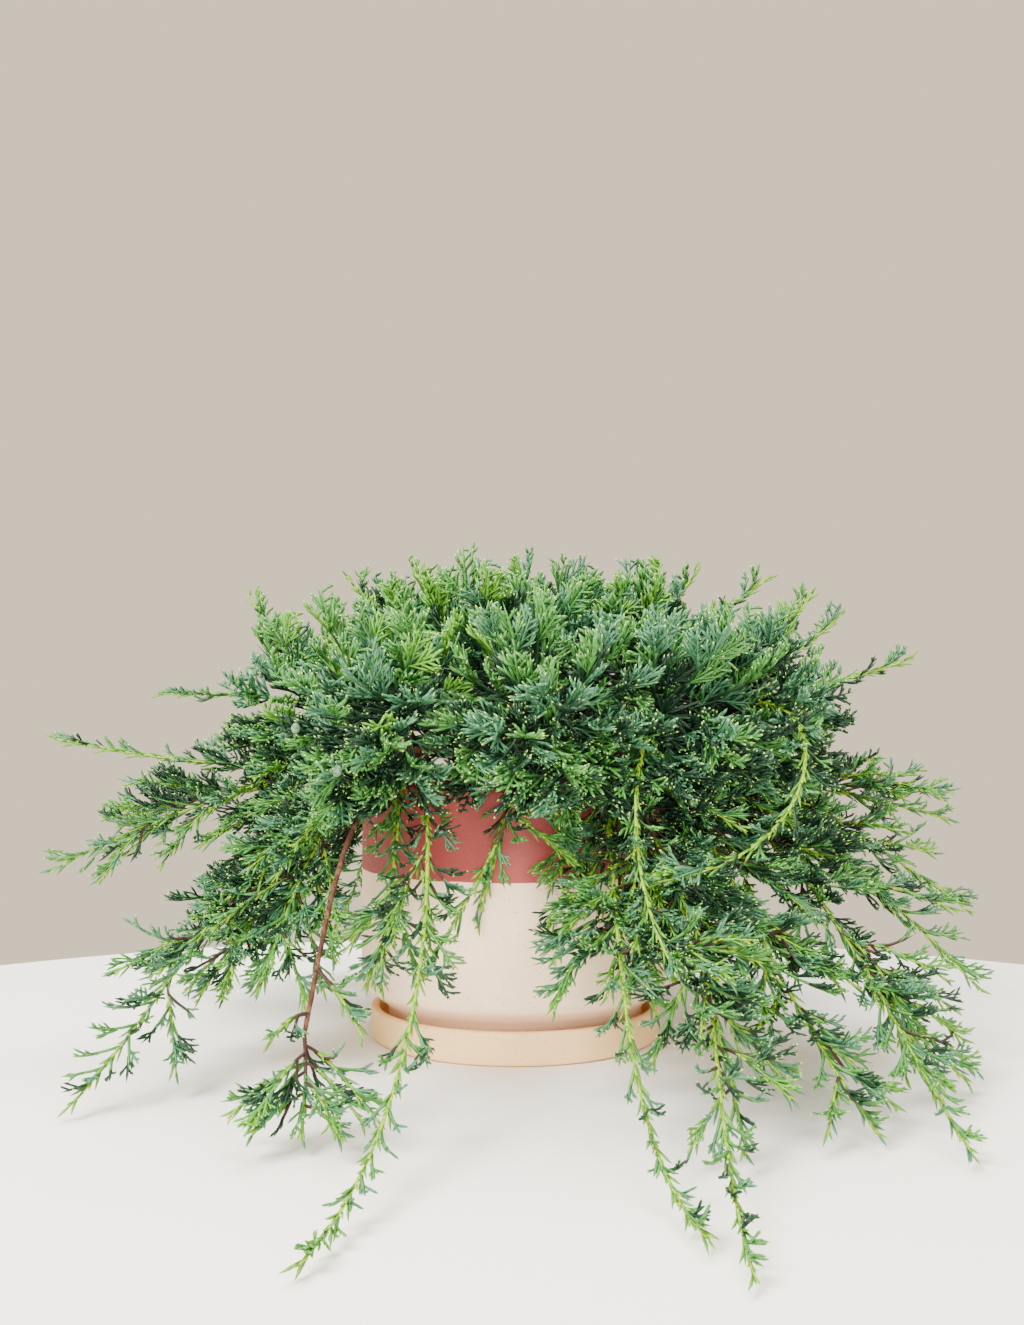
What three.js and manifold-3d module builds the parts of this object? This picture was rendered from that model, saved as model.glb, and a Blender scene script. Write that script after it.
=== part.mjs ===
// A creeping juniper that spills over the rim of a two-tone clay pot and its saucer.
// Millimetres, +Z up, -Y towards the viewer. The origin is the middle of the saucer's flat underside.

import * as THREE from 'three';
import { mergeVertices } from 'three/addons/utils/BufferGeometryUtils.js';
import Module from 'manifold-3d';

const wasm = await Module();
wasm.setup();

// Driving dimensions

const CLEARANCE = 0.3; // between neighbours that touch
const FLOOR_GAP = 4; // under the lowest tips

const POT = {
  sides: 36,
  radius: 102,
  rim: 167, // height of the rim
  crease: 35, // height where the wall turns in to the foot
  innerCrease: 41,
  footRadius: 84,
  footTop: 22,
  innerFootTop: 27,
  wall: 6,
  base: 7, // thickness of the pot's floor
  edge: 1.5, // bevel of the rim
};

const SAUCER = {
  radius: 96,
  height: 21,
  wall: 6,
  base: 7,
  edge: 1.5,
  corner: 4, // bevel under the outer wall
};

const SOIL = { top: 150, sunkEdge: 2, flatRadius: 40 };

const TRUNK = {
  sides: 10,
  steps: 6,
  top: 213,
  lean: [4, -3], // of the fork from the foot
  flare: 17, // radius at the soil
  flareHeight: 12,
  waist: 11.5, // radius above the flare
  fork: 10, // radius at the fork
};

// The outer boughs carry the skirt of trailing shoots and the outer tufts
const OUTER = {
  names: [
    'right', 'rear_right', 'rear', 'rear_left', 'left', 'front_left', 'front', 'front_right', 'right_front',
  ],
  azimuths: [10, 48, 92, 138, 184, 232, 272, 305, 338],
  starts: [169, 180, 191], // heights on the trunk, in turn
  reach: 98,
  tip: 190, // height of the tip
  arch: 5,
  radii: [6.2, 5.2],
};

// The inner boughs carry the tufts of the mound's shoulder
const INNER = {
  azimuths: [20, 92, 164, 236, 308],
  start: 204,
  reach: 50,
  tip: 224,
  arch: 4,
  radii: [5, 4],
};

const SEATS = [-20, -90, -160, 90]; // degrees round a bough's tip, from its left

const LIMB = { sides: 6, steps: 3 };

// One woody limb hangs almost bare in front of the pot, on the left
const BARE_LIMB = {
  from: 'front_left',
  seat: 1,
  tip: [-107, -226, 50],
  bend: [26, 14, -28, -10],
  radii: [2, 1.5],
  sides: 5,
  steps: 9,
};

// Tufts: a dense core of foliage with sprays standing out of it, upward from `lowest`, a slope's sine, and
// over the angle `around`, to both sides of outward
const TUFT = {
  outer: { reach: 132, height: 213, core: [36, 34, 28], sprays: 10, lowest: -0.85, around: 4 },
  inner: { reach: 68, height: 240, core: [30, 34, 26], sprays: 6, lowest: 0, around: 5 },
  top: { centre: [6, 0, 248], core: [25, 25, 22], sprays: 6, lowest: 0.2, around: 2 * Math.PI },
  shift: 12, // the mound sits a little to the right of the pot
  lumps: 0.07, // of the core
  stem: 2, // radius
  sprayOut: 48, // how far a spray stands out of its core
  spraySunk: 12, // how far its root is sunk in it
  lift: 0.5, // how much sprays turn up
  liftFull: 0.6, // sine of the slope from which they do so in full; below the level they don't
  lean: 0.25, // and outward
  twist: 1.2, // how far they turn about their own line
  steep: 0.9, // sine of the slope above which they lie in the outward direction
  fan: 1.45, // angle between a spray's outer fingers
  clear: 4, // bare length of a leader outside the core
};

// Shoots: a slender stem with sprays to both sides, one every few places of the rule or the next with room
const SHOOT = {
  stem: [1.8, 0.9], // radius at the root and at the tip
  pitch: 8, // between places
  every: 5, // places from one spray to the next
  everyDense: 3, // the same where the longest sprays are longer than `dense`
  dense: 56,
  angle: 0.64, // between a spray and its stem
  roll: 2.3, // how far sprays turn round the stem, from the flat
  faceLean: 0.2, // how far their upper faces lean away from it
  tipSpray: 34,
  broad: 46, // longer sprays than this have five fingers, others three
  fan: 0.88, // angle between a spray's outer fingers
  stemStep: 48,
  clearRoot: 34, // bare length at the root
  clearFork: 12, // and at the root of a fork
  crowded: 22, // how much room a stem gives up at its root, where other masses are close
  // Sprays grow longer as far as `full` of the way, and shorter again beyond it
  envelope: { start: 0.62, full: 0.3, drop: 0.72, power: 0.85 },
};

const SPRAY = {
  shorter: [1, 0.84, 0.7, 0.58], // shares of the length that are tried in turn
  least: 16, // shortest length
  ownSpace: 1.6, // how much nearer it is to its own mass's bones than to any other's
  limbGap: 2,
  stemGap: 6,
  potGap: 3,
  sunk: 3, // root in the stem
  curl: 0.16, // rise of the longest finger, as a share of its length
  taper: 0.28, // how much shorter the outermost fingers are
  valley: 0.5, // reach of the notches between fingers
  middle: 0.3, // where it is thickest
  thick: [0.9, 0.018], // half its thickness there, and how much more for each millimetre of length
  leastJoin: 1.2, // volume that it shares with what it grows on
  uneven: 0.15, // how much longer or shorter one is than its neighbour
  unevenTips: 0.1, // the same of its fingers
};

const BONES = { mass: 28, stem: 6, limb: 24, line: 60 }; // steps along each

const SEED = { outer: 1, inner: 21, top: 31, shoots: 41, rear: 61, foot: 71, fork: 0.31, tip: 99 };

const EVEN = [0.7548776662466927, 0.5698402909980532]; // steps of a sequence that fills a square evenly

// The trailing shoots that the front shows: tip, then [rise, rise, sway, sway] of the curve's two handles off
// the straight line, and the length of the longest sprays
const FRONT_SHOOTS = [
  {
    name: 'shoot_left_high', bough: 'left', seat: 2, tip: [-307, -20, 197], bend: [-22, -12, 6, 4],
    spread: 35,
  },
  {
    name: 'shoot_left_side', bough: 'left', seat: 1, tip: [-294, -62, 112], bend: [4, 16, 14, 8],
    spread: 59, forks: [{ at: 0.45, tip: [-262, -20, 136], bend: [6, 6, 0, 0], spread: 46 }],
  },
  {
    name: 'shoot_left_low', bough: 'left', seat: 0, tip: [-234, -206, 6], bend: [22, -18, -18, -10],
    spread: 59,
  },
  {
    name: 'shoot_left_drape', bough: 'front_left', seat: 2, tip: [-190, -104, 40], bend: [20, 26, 0, 0],
    spread: 65, forks: [{ at: 0.4, tip: [-146, -142, 52], bend: [10, 12, 0, 0], spread: 57 }],
  },
  {
    name: 'shoot_front_long', bough: 'front_left', seat: 0, tip: [-82, -412, 6], bend: [-25, -58, 28, 24],
    spread: 46, forks: [{ at: 0.2, tip: [-82, -178, 62], bend: [8, 8, 0, 0], spread: 42 }],
  },
  {
    name: 'shoot_front', bough: 'front', seat: 1, tip: [-54, -190, 64], bend: [8, 6, 24, 10],
    spread: 49, forks: [{ at: 0.3, tip: [34, -152, 126], bend: [4, 4, 0, 0], spread: 38 }],
  },
  {
    name: 'shoot_front_right', bough: 'front_right', seat: 2, tip: [77, -387, 6],
    bend: [-28, -58, -4, -22],
    spread: 45, forks: [
      { at: 0.4, tip: [128, -218, 84], bend: [10, 8, 0, 0], spread: 38 },
      { at: 0.28, tip: [20, -194, 52], bend: [6, 8, 0, 0], spread: 46 },
    ],
  },
  {
    name: 'shoot_front_right_drape', bough: 'front_right', seat: 0, tip: [106, -296, 8],
    bend: [14, -10, 12, 16],
    spread: 62, forks: [
      { at: 0.66, tip: [88, -423, 6], bend: [-12, -12, 0, -4], spread: 35 },
      { at: 0.26, tip: [48, -204, 62], bend: [6, 6, 0, 0], spread: 54 },
    ],
  },
  {
    name: 'shoot_right_drape', bough: 'right_front', seat: 2, tip: [178, -258, 7], bend: [22, -22, -4, 0],
    spread: 65,
  },
  {
    name: 'shoot_right_low', bough: 'right_front', seat: 1, tip: [214, -286, 6], bend: [14, -30, 62, 34],
    spread: 54, forks: [{ at: 0.5, tip: [251, -166, 8], bend: [10, -6, 0, 0], spread: 46 }],
  },
  {
    name: 'shoot_right_side', bough: 'right_front', seat: 0, tip: [279, -104, 46], bend: [24, 22, 14, 10],
    spread: 59,
  },
  { name: 'shoot_right_tail', bough: 'right', seat: 2, tip: [294, -40, 84], bend: [6, 20, 4, 0], spread: 57 },
  {
    name: 'shoot_right_high', bough: 'right', seat: 0, tip: [304, 24, 138], bend: [-8, 6, 0, 0], spread: 51,
    forks: [{ at: 0.5, tip: [292, -14, 160], bend: [4, 4, 0, 0], spread: 38 }],
  },
];

// The rear is hidden, so its shoots go on in the same way by a loop
const REAR_SHOOTS = {
  boughs: ['rear_right', 'rear', 'rear_left'],
  turns: [-15, 0, 15], // degrees off the bough
  reaches: [292, 322, 262],
  tips: [84, 7, 38],
  bends: [[6, 14, 0, 0], [20, -26, 0, 0], [26, 14, 0, 0]],
  spreads: [56, 56, 62],
};

// Slender shoots that stand out of the mound's tufts
const LEADERS = [
  { tuft: 'tuft_right', tip: [276, 20, 252], bend: [6, -6, 0, 0], spread: 32 },
  { tuft: 'tuft_right', tip: [238, 62, 287], bend: [4, -6, 0, 0], spread: 30 },
  { tuft: 'tuft_right', tip: [200, -14, 296], bend: [4, -6, 0, 0], spread: 28 },
  { tuft: 'tuft_left', tip: [-243, 6, 226], bend: [10, 4, 0, 0], spread: 32 },
  { tuft: 'tuft_left', tip: [-186, 26, 297], bend: [0, -8, 0, 0], spread: 30 },
  { tuft: 'tuft_right_front', tip: [70, -190, 122], bend: [64, -20, 78, 105], spread: 32 },
  { tuft: 'tuft_front_right', tip: [88, -230, 72], bend: [50, 8, -16, -40], spread: 30 },
  { tuft: 'tuft_inner_1', tip: [130, 34, 318], bend: [0, -6, 0, 0], spread: 30 },
  { tuft: 'tuft_inner_1', tip: [182, 44, 311], bend: [4, -6, 0, 0], spread: 28 },
  { tuft: 'tuft_inner_3', tip: [-118, 22, 310], bend: [0, -6, 0, 0], spread: 30 },
  { tuft: 'tuft_rear_right', tip: [176, 182, 262], bend: [8, 0, 0, 0], spread: 32 },
  { tuft: 'tuft_rear_left', tip: [-196, 160, 256], bend: [8, 0, 0, 0], spread: 32 },
];

// The bare limb ends in a tuft-like shoot that rests by the table
const FOOT_SHOOT = {
  name: 'shoot_left_foot', tip: [-103, -264, 8], bend: [2, 0, 2, 2], spread: 44, bare: 4,
  forks: [{ at: 0.3, tip: [-140, -256, 16], bend: [6, 4, 0, 0], spread: 34 }],
};

const COLOURS = {
  clay: 0xe6d9cb,
  biscuit: 0xe9d5bf,
  earth: 0x4a3528,
  bark: 0x7a5038,
  bough: 0x6d4a34,
  mound: 0x4f7d57,
  shoot: 0x5f9353,
};

// Small tools

const UP = new THREE.Vector3(0, 0, 1);
const vector = (p) => new THREE.Vector3(...p);
const radians = (degrees) => (degrees * Math.PI) / 180;
const round = (azimuth, reach, height) =>
  new THREE.Vector3(reach * Math.cos(radians(azimuth)), reach * Math.sin(radians(azimuth)), height);

/** A number from 0 to 1 that depends only on its three whole arguments. */
function chance(seed, i, k) {
  const wave = Math.sin(seed * 127.1 + i * 311.7 + k * 74.7) * 43758.5453;
  return wave - Math.floor(wave);
}

/** Joins a geometry's shared corners and hands it over for joining and cutting. */
function toManifold(geometry) {
  geometry.deleteAttribute('normal');
  geometry.deleteAttribute('uv');
  const merged = mergeVertices(geometry, 1e-4);
  return new wasm.Manifold(new wasm.Mesh({
    numProp: 3,
    vertProperties: new Float32Array(merged.attributes.position.array),
    triVerts: new Uint32Array(merged.index.array),
  }));
}

function fromManifold(manifold) {
  const { vertProperties, triVerts } = manifold.getMesh();
  const geometry = new THREE.BufferGeometry();
  geometry.setAttribute('position', new THREE.BufferAttribute(new Float32Array(vertProperties), 3));
  geometry.setIndex(new THREE.BufferAttribute(new Uint32Array(triVerts), 1));
  geometry.computeVertexNormals();
  return geometry;
}

function mesh(name, geometry, colour, roughness) {
  const material = new THREE.MeshStandardMaterial({ color: colour, roughness, metalness: 0 });
  const made = new THREE.Mesh(geometry, material);
  made.name = name;
  return made;
}

/** A direction square to `along`, as near as it goes to `wanted`. */
function square(wanted, along) {
  return wanted.clone().addScaledVector(along, -wanted.dot(along)).normalize();
}

/** A cylinder bent along a curve, its radius given along the way; it may end pointed or run on past it. */
function limb({ curve, side, sides, steps, radius, pointed = false, past = 0 }) {
  const geometry = new THREE.CylinderGeometry(pointed ? 0 : 1, 1, 1, sides, steps);
  const place = geometry.attributes.position;
  for (let i = 0; i < place.count; i += 1) {
    const t = place.getY(i) + 0.5;
    const off = new THREE.Vector2(place.getX(i), place.getZ(i));
    if (off.lengthSq() > 0) off.normalize().multiplyScalar(radius(t));
    const along = curve.getTangent(t);
    const across = square(side, along);
    const point = curve.getPoint(t).addScaledVector(across, off.x).addScaledVector(along, t === 1 ? past : 0);
    point.addScaledVector(across.clone().cross(along), off.y);
    place.setXYZ(i, point.x, point.y, point.z);
  }
  return geometry;
}

/** A curve between two points, whose handles stand off the straight line by the bend's rise and sway. */
function bent(from, to, [riseA, riseB, swayA, swayB]) {
  const flat = to.clone().sub(from).setZ(0).normalize();
  const side = UP.clone().cross(flat);
  const handle = (share, rise, sway) =>
    from.clone().lerp(to, share).addScaledVector(UP, rise).addScaledVector(side, sway);
  const handles = [handle(1 / 3, riseA, swayA), handle(2 / 3, riseB, swayB)];
  return { curve: new THREE.CubicBezierCurve3(from, ...handles, to), side };
}

// Pot, saucer and soil, all turned about the axis

function turned(profile) {
  const geometry = new THREE.LatheGeometry(profile.map(([r, z]) => new THREE.Vector2(r, z)), POT.sides);
  geometry.rotateX(Math.PI / 2);
  return fromManifold(toManifold(geometry));
}

function makePot() {
  const foot = SAUCER.base + CLEARANCE;
  const inner = POT.radius - POT.wall;
  return mesh('pot', turned([
    [0, foot], [POT.footRadius, foot], [POT.footRadius, POT.footTop], [POT.radius, POT.crease],
    [POT.radius, POT.rim - POT.edge], [POT.radius - POT.edge, POT.rim], [inner + POT.edge, POT.rim],
    [inner, POT.rim - POT.edge], [inner, POT.innerCrease], [POT.footRadius - POT.wall, POT.innerFootTop],
    [POT.footRadius - POT.wall, foot + POT.base], [0, foot + POT.base],
  ]), COLOURS.clay, 0.8);
}

function makeSaucer() {
  const inner = SAUCER.radius - SAUCER.wall;
  return mesh('saucer', turned([
    [0, 0], [SAUCER.radius - SAUCER.corner, 0], [SAUCER.radius, SAUCER.corner],
    [SAUCER.radius, SAUCER.height - SAUCER.edge], [SAUCER.radius - SAUCER.edge, SAUCER.height],
    [inner + SAUCER.edge, SAUCER.height], [inner, SAUCER.height - SAUCER.edge], [inner, SAUCER.base],
    [0, SAUCER.base],
  ]), COLOURS.biscuit, 0.75);
}

function makeSoil() {
  const radius = POT.radius - POT.wall - CLEARANCE;
  const footRadius = POT.footRadius - POT.wall - CLEARANCE;
  const bottom = SAUCER.base + CLEARANCE + POT.base + CLEARANCE;
  return mesh('soil', turned([
    [0, bottom], [footRadius, bottom], [footRadius, POT.innerFootTop + CLEARANCE],
    [radius, POT.innerCrease + CLEARANCE], [radius, SOIL.top - SOIL.sunkEdge], [SOIL.flatRadius, SOIL.top],
    [0, SOIL.top],
  ]), COLOURS.earth, 1);
}

// Trunk and boughs

const limbs = []; // points and radii along each, which foliage keeps clear of

function registerLimb(curve, radius) {
  const points = curve.getPoints(BONES.limb);
  limbs.push({ points, radii: points.map((_, i) => radius(i / BONES.limb)) });
}

function makeTrunk() {
  const foot = new THREE.Vector3(0, 0, SOIL.top + CLEARANCE);
  const fork = new THREE.Vector3(...TRUNK.lean, TRUNK.top);
  const curve = new THREE.CubicBezierCurve3(
    foot, foot.clone().lerp(fork, 1 / 3).setX(0).setY(0), foot.clone().lerp(fork, 2 / 3), fork,
  );
  const height = fork.z - foot.z;
  const radius = (t) => {
    const flare = Math.max(0, 1 - (t * height) / TRUNK.flareHeight) ** 2;
    return THREE.MathUtils.lerp(TRUNK.waist, TRUNK.fork, t) + (TRUNK.flare - TRUNK.waist) * flare;
  };
  registerLimb(curve, radius);
  const shape = { curve, side: vector([1, 0, 0]), sides: TRUNK.sides, steps: TRUNK.steps };
  const room = toManifold(limb({ ...shape, radius: (t) => radius(t) + CLEARANCE, past: CLEARANCE }));
  const solid = fromManifold(toManifold(limb({ ...shape, radius })));
  return { mesh: mesh('trunk', solid, COLOURS.bark, 0.9), curve, room };
}

const trunk = makeTrunk();

/** A limb from its root, cut to sit on what it grows from, to its blunt tip, with the room that it needs. */
function makeLimb(name, { from, to, bend, radii, sides, steps, carrier, colour }) {
  const { curve, side } = bent(from, to, bend);
  const radius = (t) => THREE.MathUtils.lerp(radii[0], radii[1], t);
  registerLimb(curve, radius);
  const solid = toManifold(limb({ curve, side, sides, steps, radius })).subtract(carrier);
  const room = limb({ curve, side, sides, steps, radius: (t) => radius(t) + CLEARANCE, past: CLEARANCE });
  return {
    mesh: mesh(name, fromManifold(solid), colour, 0.9),
    tip: to, along: curve.getTangent(1), radius: radii[1], room: toManifold(room),
  };
}

function makeBough(name, azimuth, start, { reach, tip, arch, radii }) {
  const share = (start - SOIL.top - CLEARANCE) / (TRUNK.top - SOIL.top - CLEARANCE);
  const from = trunk.curve.getPoint(share);
  const to = round(azimuth, reach, tip);
  const bend = [arch, arch, 0, 0];
  return makeLimb(name, { from, to, bend, radii, ...LIMB, carrier: trunk.room, colour: COLOURS.bough });
}

/** A stem's root just inside a bough's blunt tip: seats 0 to 2 go round its lower side, and 3 is on top. */
function seatOn(bough, seat, radius) {
  const side = square(UP.clone().cross(bough.along), bough.along);
  const upward = bough.along.clone().cross(side);
  const angle = radians(SEATS[seat]);
  const ring = bough.radius - radius;
  return bough.tip.clone()
    .addScaledVector(bough.along, -CLEARANCE)
    .addScaledVector(side, Math.cos(angle) * ring)
    .addScaledVector(upward, Math.sin(angle) * ring);
}

// Foliage, first as bones, so that each mass knows the space of the others

/** A shoot's bones: its curve, its length and the room that it takes. */
function boneShoot(from, { tip, bend, spread, bare = SHOOT.clearRoot }, seed) {
  const { curve, side } = bent(from, vector(tip), bend);
  return { curve, side, spread, seed, length: curve.getLength(), line: curve.getPoints(BONES.line), bare };
}

function boneMass(name, seed, from, carrier, plan) {
  const main = boneShoot(from, plan, seed);
  const shoots = [main];
  for (const [i, fork] of (plan.forks ?? []).entries()) {
    const own = seed + SEED.fork * (i + 1);
    shoots.push(boneShoot(main.curve.getPoint(fork.at), { bare: SHOOT.clearFork, ...fork }, own));
  }
  return { name, seed, carrier, shoots, cores: [], colour: COLOURS.shoot };
}

function boneTuft(name, seed, from, carrier, centre, plan) {
  const outward = centre.clone().setZ(0).normalize();
  const leaders = LEADERS.filter((leader) => leader.tuft === name).map((leader, i) => {
    const bare = plan.core[0] + TUFT.clear;
    return boneShoot(centre.clone(), { ...leader, bare }, seed + SEED.fork * (i + 1));
  });
  const { curve, side } = bent(from, centre, [0, 4, 0, 0]);
  const { core: size, sprays, lowest, around } = plan;
  return {
    name, seed, carrier, sprays, lowest, around,
    stem: { curve, side }, shoots: leaders, cores: [{ centre, outward, size }], colour: COLOURS.mound,
  };
}

/** How far a point is from a mass's bones, less the cores' own size. */
function distanceTo(mass, point) {
  let nearest = Infinity;
  for (const { at, room } of mass.bones) nearest = Math.min(nearest, at.distanceTo(point) - room);
  return nearest;
}

function setBones(mass) {
  mass.bones = mass.shoots.flatMap(({ curve, length }) => curve.getPoints(BONES.mass).map((at, i) => {
    const gone = (i / BONES.mass) * length;
    return { at, room: mass.stem ? 0 : -SHOOT.crowded * Math.max(0, 1 - gone / (2 * SHOOT.clearRoot)) };
  }));
  for (const { centre, size } of mass.cores) mass.bones.push({ at: centre, room: (size[0] + size[2]) / 2 });
  if (mass.stem) mass.bones.push(...mass.stem.curve.getPoints(BONES.stem).map((at) => ({ at, room: 0 })));
}

/** True if every point keeps to the mass's own space, clear of limbs, pot, soil and floor. */
function fits(points, mass, masses) {
  return points.every((point) => {
    const out = Math.hypot(point.x, point.y);
    if (point.z < FLOOR_GAP) return false;
    if (point.z < POT.rim + SPRAY.potGap && out < POT.radius + SPRAY.potGap) return false;
    for (const { points: line, radii } of limbs) {
      for (const [i, at] of line.entries()) {
        if (at.distanceTo(point) < radii[i] + SPRAY.limbGap) return false;
      }
    }
    const own = distanceTo(mass, point);
    return masses.every((other) => {
      if (other === mass) return true;
      if (distanceTo(other, point) < own + SPRAY.ownSpace) return false;
      return other.shoots.every(({ line }) => line.every((at) => at.distanceTo(point) > SPRAY.stemGap));
    });
  });
}

// Sprays

/**
 * A spray of needles: a sphere with two poles whose equator is drawn out into fingers. It lies flat from its
 * root on, and its fingers curl out of that plane.
 */
function sprayPoints({ root, along, across, length, fingers, fan, sunk, seed, number }) {
  const face = along.clone().cross(across);
  const place = (u, v, w) =>
    root.clone().addScaledVector(along, u).addScaledVector(across, v).addScaledVector(face, w);
  const curl = (r) => SPRAY.curl * length * (r / length) ** 2;
  const outline = [place(-sunk, 0, 0)];
  for (let i = 0; i < 2 * fingers - 1; i += 1) {
    const turn = (i / (2 * fingers - 2) - 0.5) * fan;
    const tip = i % 2 === 0;
    const longest = 1 - SPRAY.taper * (turn / (fan / 2)) ** 2;
    const short = 1 - SPRAY.unevenTips * (1 - chance(seed, number, i + 5));
    const r = length * (tip ? longest * short : SPRAY.valley);
    outline.push(place(r * Math.cos(turn), r * Math.sin(turn), curl(r)));
  }
  const middle = SPRAY.middle * length;
  const thick = SPRAY.thick[0] + SPRAY.thick[1] * length;
  return { outline, top: place(middle, 0, thick), bottom: place(middle, 0, -thick) };
}

/** A factor for a spray's length, close to 1. */
function uneven(seed, i, k) {
  return 1 + SPRAY.uneven * (2 * chance(seed, i, k) - 1);
}

function sprayGeometry({ outline, top, bottom }) {
  const geometry = new THREE.SphereGeometry(1, outline.length, 2);
  const place = geometry.attributes.position;
  const row = outline.length + 1;
  for (let i = 0; i < place.count; i += 1) {
    const ring = Math.floor(i / row);
    const point = [top, outline[(i % row) % outline.length], bottom][ring];
    place.setXYZ(i, point.x, point.y, point.z);
  }
  return geometry;
}

/** The spray at one place of a mass, at the first length that fits, or null. */
function fitSpray(spray, mass, masses) {
  for (const share of SPRAY.shorter) {
    const length = spray.length * share;
    if (length < SPRAY.least) return null;
    const shape = sprayPoints({ ...spray, length });
    const fingers = shape.outline.slice(1);
    const inner = fingers.map((point) => point.clone().lerp(shape.top, 0.5));
    const edges = fingers.map((point, i) => point.clone().lerp(shape.outline[i], 0.5));
    if (fits([...fingers, ...inner, ...edges, shape.top], mass, masses)) return sprayGeometry(shape);
  }
  return null;
}

/** How long sprays are along a shoot, as a share of its longest. */
function envelope(t) {
  const { start, full, drop, power } = SHOOT.envelope;
  return t < full ? start + ((1 - start) * t) / full : 1 - drop * ((t - full) / (1 - full)) ** power;
}

/** The spray at place k of a shoot: sides alternate, and each turns a little round the stem. */
function placedSpray(shoot, k) {
  const t = (shoot.bare + (k + 0.5) * SHOOT.pitch) / shoot.length;
  const ahead = shoot.curve.getTangent(t);
  const side = square(shoot.side, ahead);
  const above = side.clone().cross(ahead).negate();
  const turn = (k % 2 === 0 ? 0 : Math.PI) + (chance(shoot.seed, k, 1) - 0.5) * SHOOT.roll;
  const out = side.clone().multiplyScalar(Math.cos(turn)).addScaledVector(above, Math.sin(turn));
  const along = ahead.clone().multiplyScalar(Math.cos(SHOOT.angle));
  along.addScaledVector(out, Math.sin(SHOOT.angle));
  const face = square(above.clone().addScaledVector(out, SHOOT.faceLean), along);
  const length = shoot.spread * envelope(t) * uneven(shoot.seed, k, 2);
  return {
    root: shoot.curve.getPoint(t), along, across: face.clone().cross(along), length,
    fingers: length > SHOOT.broad ? 5 : 3, fan: SHOOT.fan, sunk: SPRAY.sunk, seed: shoot.seed, number: k,
  };
}

function tipSpray(shoot) {
  const t = 1 - SHOOT.tipSpray / shoot.length;
  const root = shoot.curve.getPoint(t);
  const along = shoot.curve.getPoint(1).sub(root);
  const length = along.length();
  along.normalize();
  return {
    root, along, across: square(shoot.side, along), length,
    fingers: 3, fan: SHOOT.fan, sunk: SPRAY.sunk, seed: shoot.seed, number: SEED.tip,
  };
}

/** The spray at number i of a tuft, by a sequence whose first members always spread evenly over the core. */
function tuftSpray(mass, i) {
  const { centre, outward, size } = mass.cores[0];
  const share = (0.5 + (i + 1) * EVEN[0]) % 1;
  const turn = mass.around * (((0.5 + (i + 1) * EVEN[1] + chance(mass.seed, 0, 3)) % 1) - 0.5);
  const sine = mass.lowest + (1 - mass.lowest) * share;
  const flat = Math.sqrt(1 - sine ** 2);
  const sideways = UP.clone().cross(outward);
  const ray = outward.clone().multiplyScalar(flat * Math.cos(turn));
  ray.addScaledVector(sideways, flat * Math.sin(turn)).addScaledVector(UP, sine);
  const lift = TUFT.lift * THREE.MathUtils.clamp(sine / TUFT.liftFull, 0, 1);
  const along = ray.clone().addScaledVector(UP, lift).addScaledVector(outward, TUFT.lean);
  along.normalize();
  const radius = 1 / Math.hypot(ray.dot(outward) / size[0], ray.dot(sideways) / size[1], sine / size[2]);
  const twist = TUFT.twist * (chance(mass.seed, i, 4) - 0.5);
  const level = square(Math.abs(along.z) > TUFT.steep ? outward : UP.clone().cross(along), along);
  const across = level.applyAxisAngle(along, twist);
  return {
    root: centre.clone().addScaledVector(ray, radius - TUFT.spraySunk), along, across,
    length: TUFT.spraySunk + TUFT.sprayOut * uneven(mass.seed, i, 6),
    fingers: 5, fan: TUFT.fan, sunk: SPRAY.sunk, seed: mass.seed, number: i,
  };
}

// Solids of the masses

function coreSolid({ centre, outward, size }, seed) {
  const geometry = new THREE.SphereGeometry(1, 8, 4);
  const place = geometry.attributes.position;
  const sideways = UP.clone().cross(outward);
  for (let i = 0; i < place.count; i += 1) {
    const [x, y, z] = [place.getX(i), place.getY(i), place.getZ(i)];
    const lumps = 1 + TUFT.lumps * Math.sin(4 * x + seed) * Math.cos(3 * y + 5 * z + seed);
    const point = centre.clone().addScaledVector(outward, x * size[0] * lumps);
    point.addScaledVector(sideways, y * size[1] * lumps).addScaledVector(UP, z * size[2] * lumps);
    place.setXYZ(i, point.x, point.y, point.z);
  }
  return toManifold(geometry);
}

/** Fuses pieces on in turn, leaving out any that would hang on by next to nothing. */
function fuse(solid, pieces) {
  let whole = solid;
  for (const piece of pieces) {
    if (whole.intersect(piece).volume() > SPRAY.leastJoin) whole = whole.add(piece);
  }
  return whole;
}

function stemSolid({ curve, side }, radii, step, pointed) {
  const steps = Math.max(3, Math.round(curve.getLength() / step));
  const radius = (t) => THREE.MathUtils.lerp(radii[0], radii[1], t);
  return toManifold(limb({ curve, side, sides: 3, steps, radius, pointed }));
}

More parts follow.
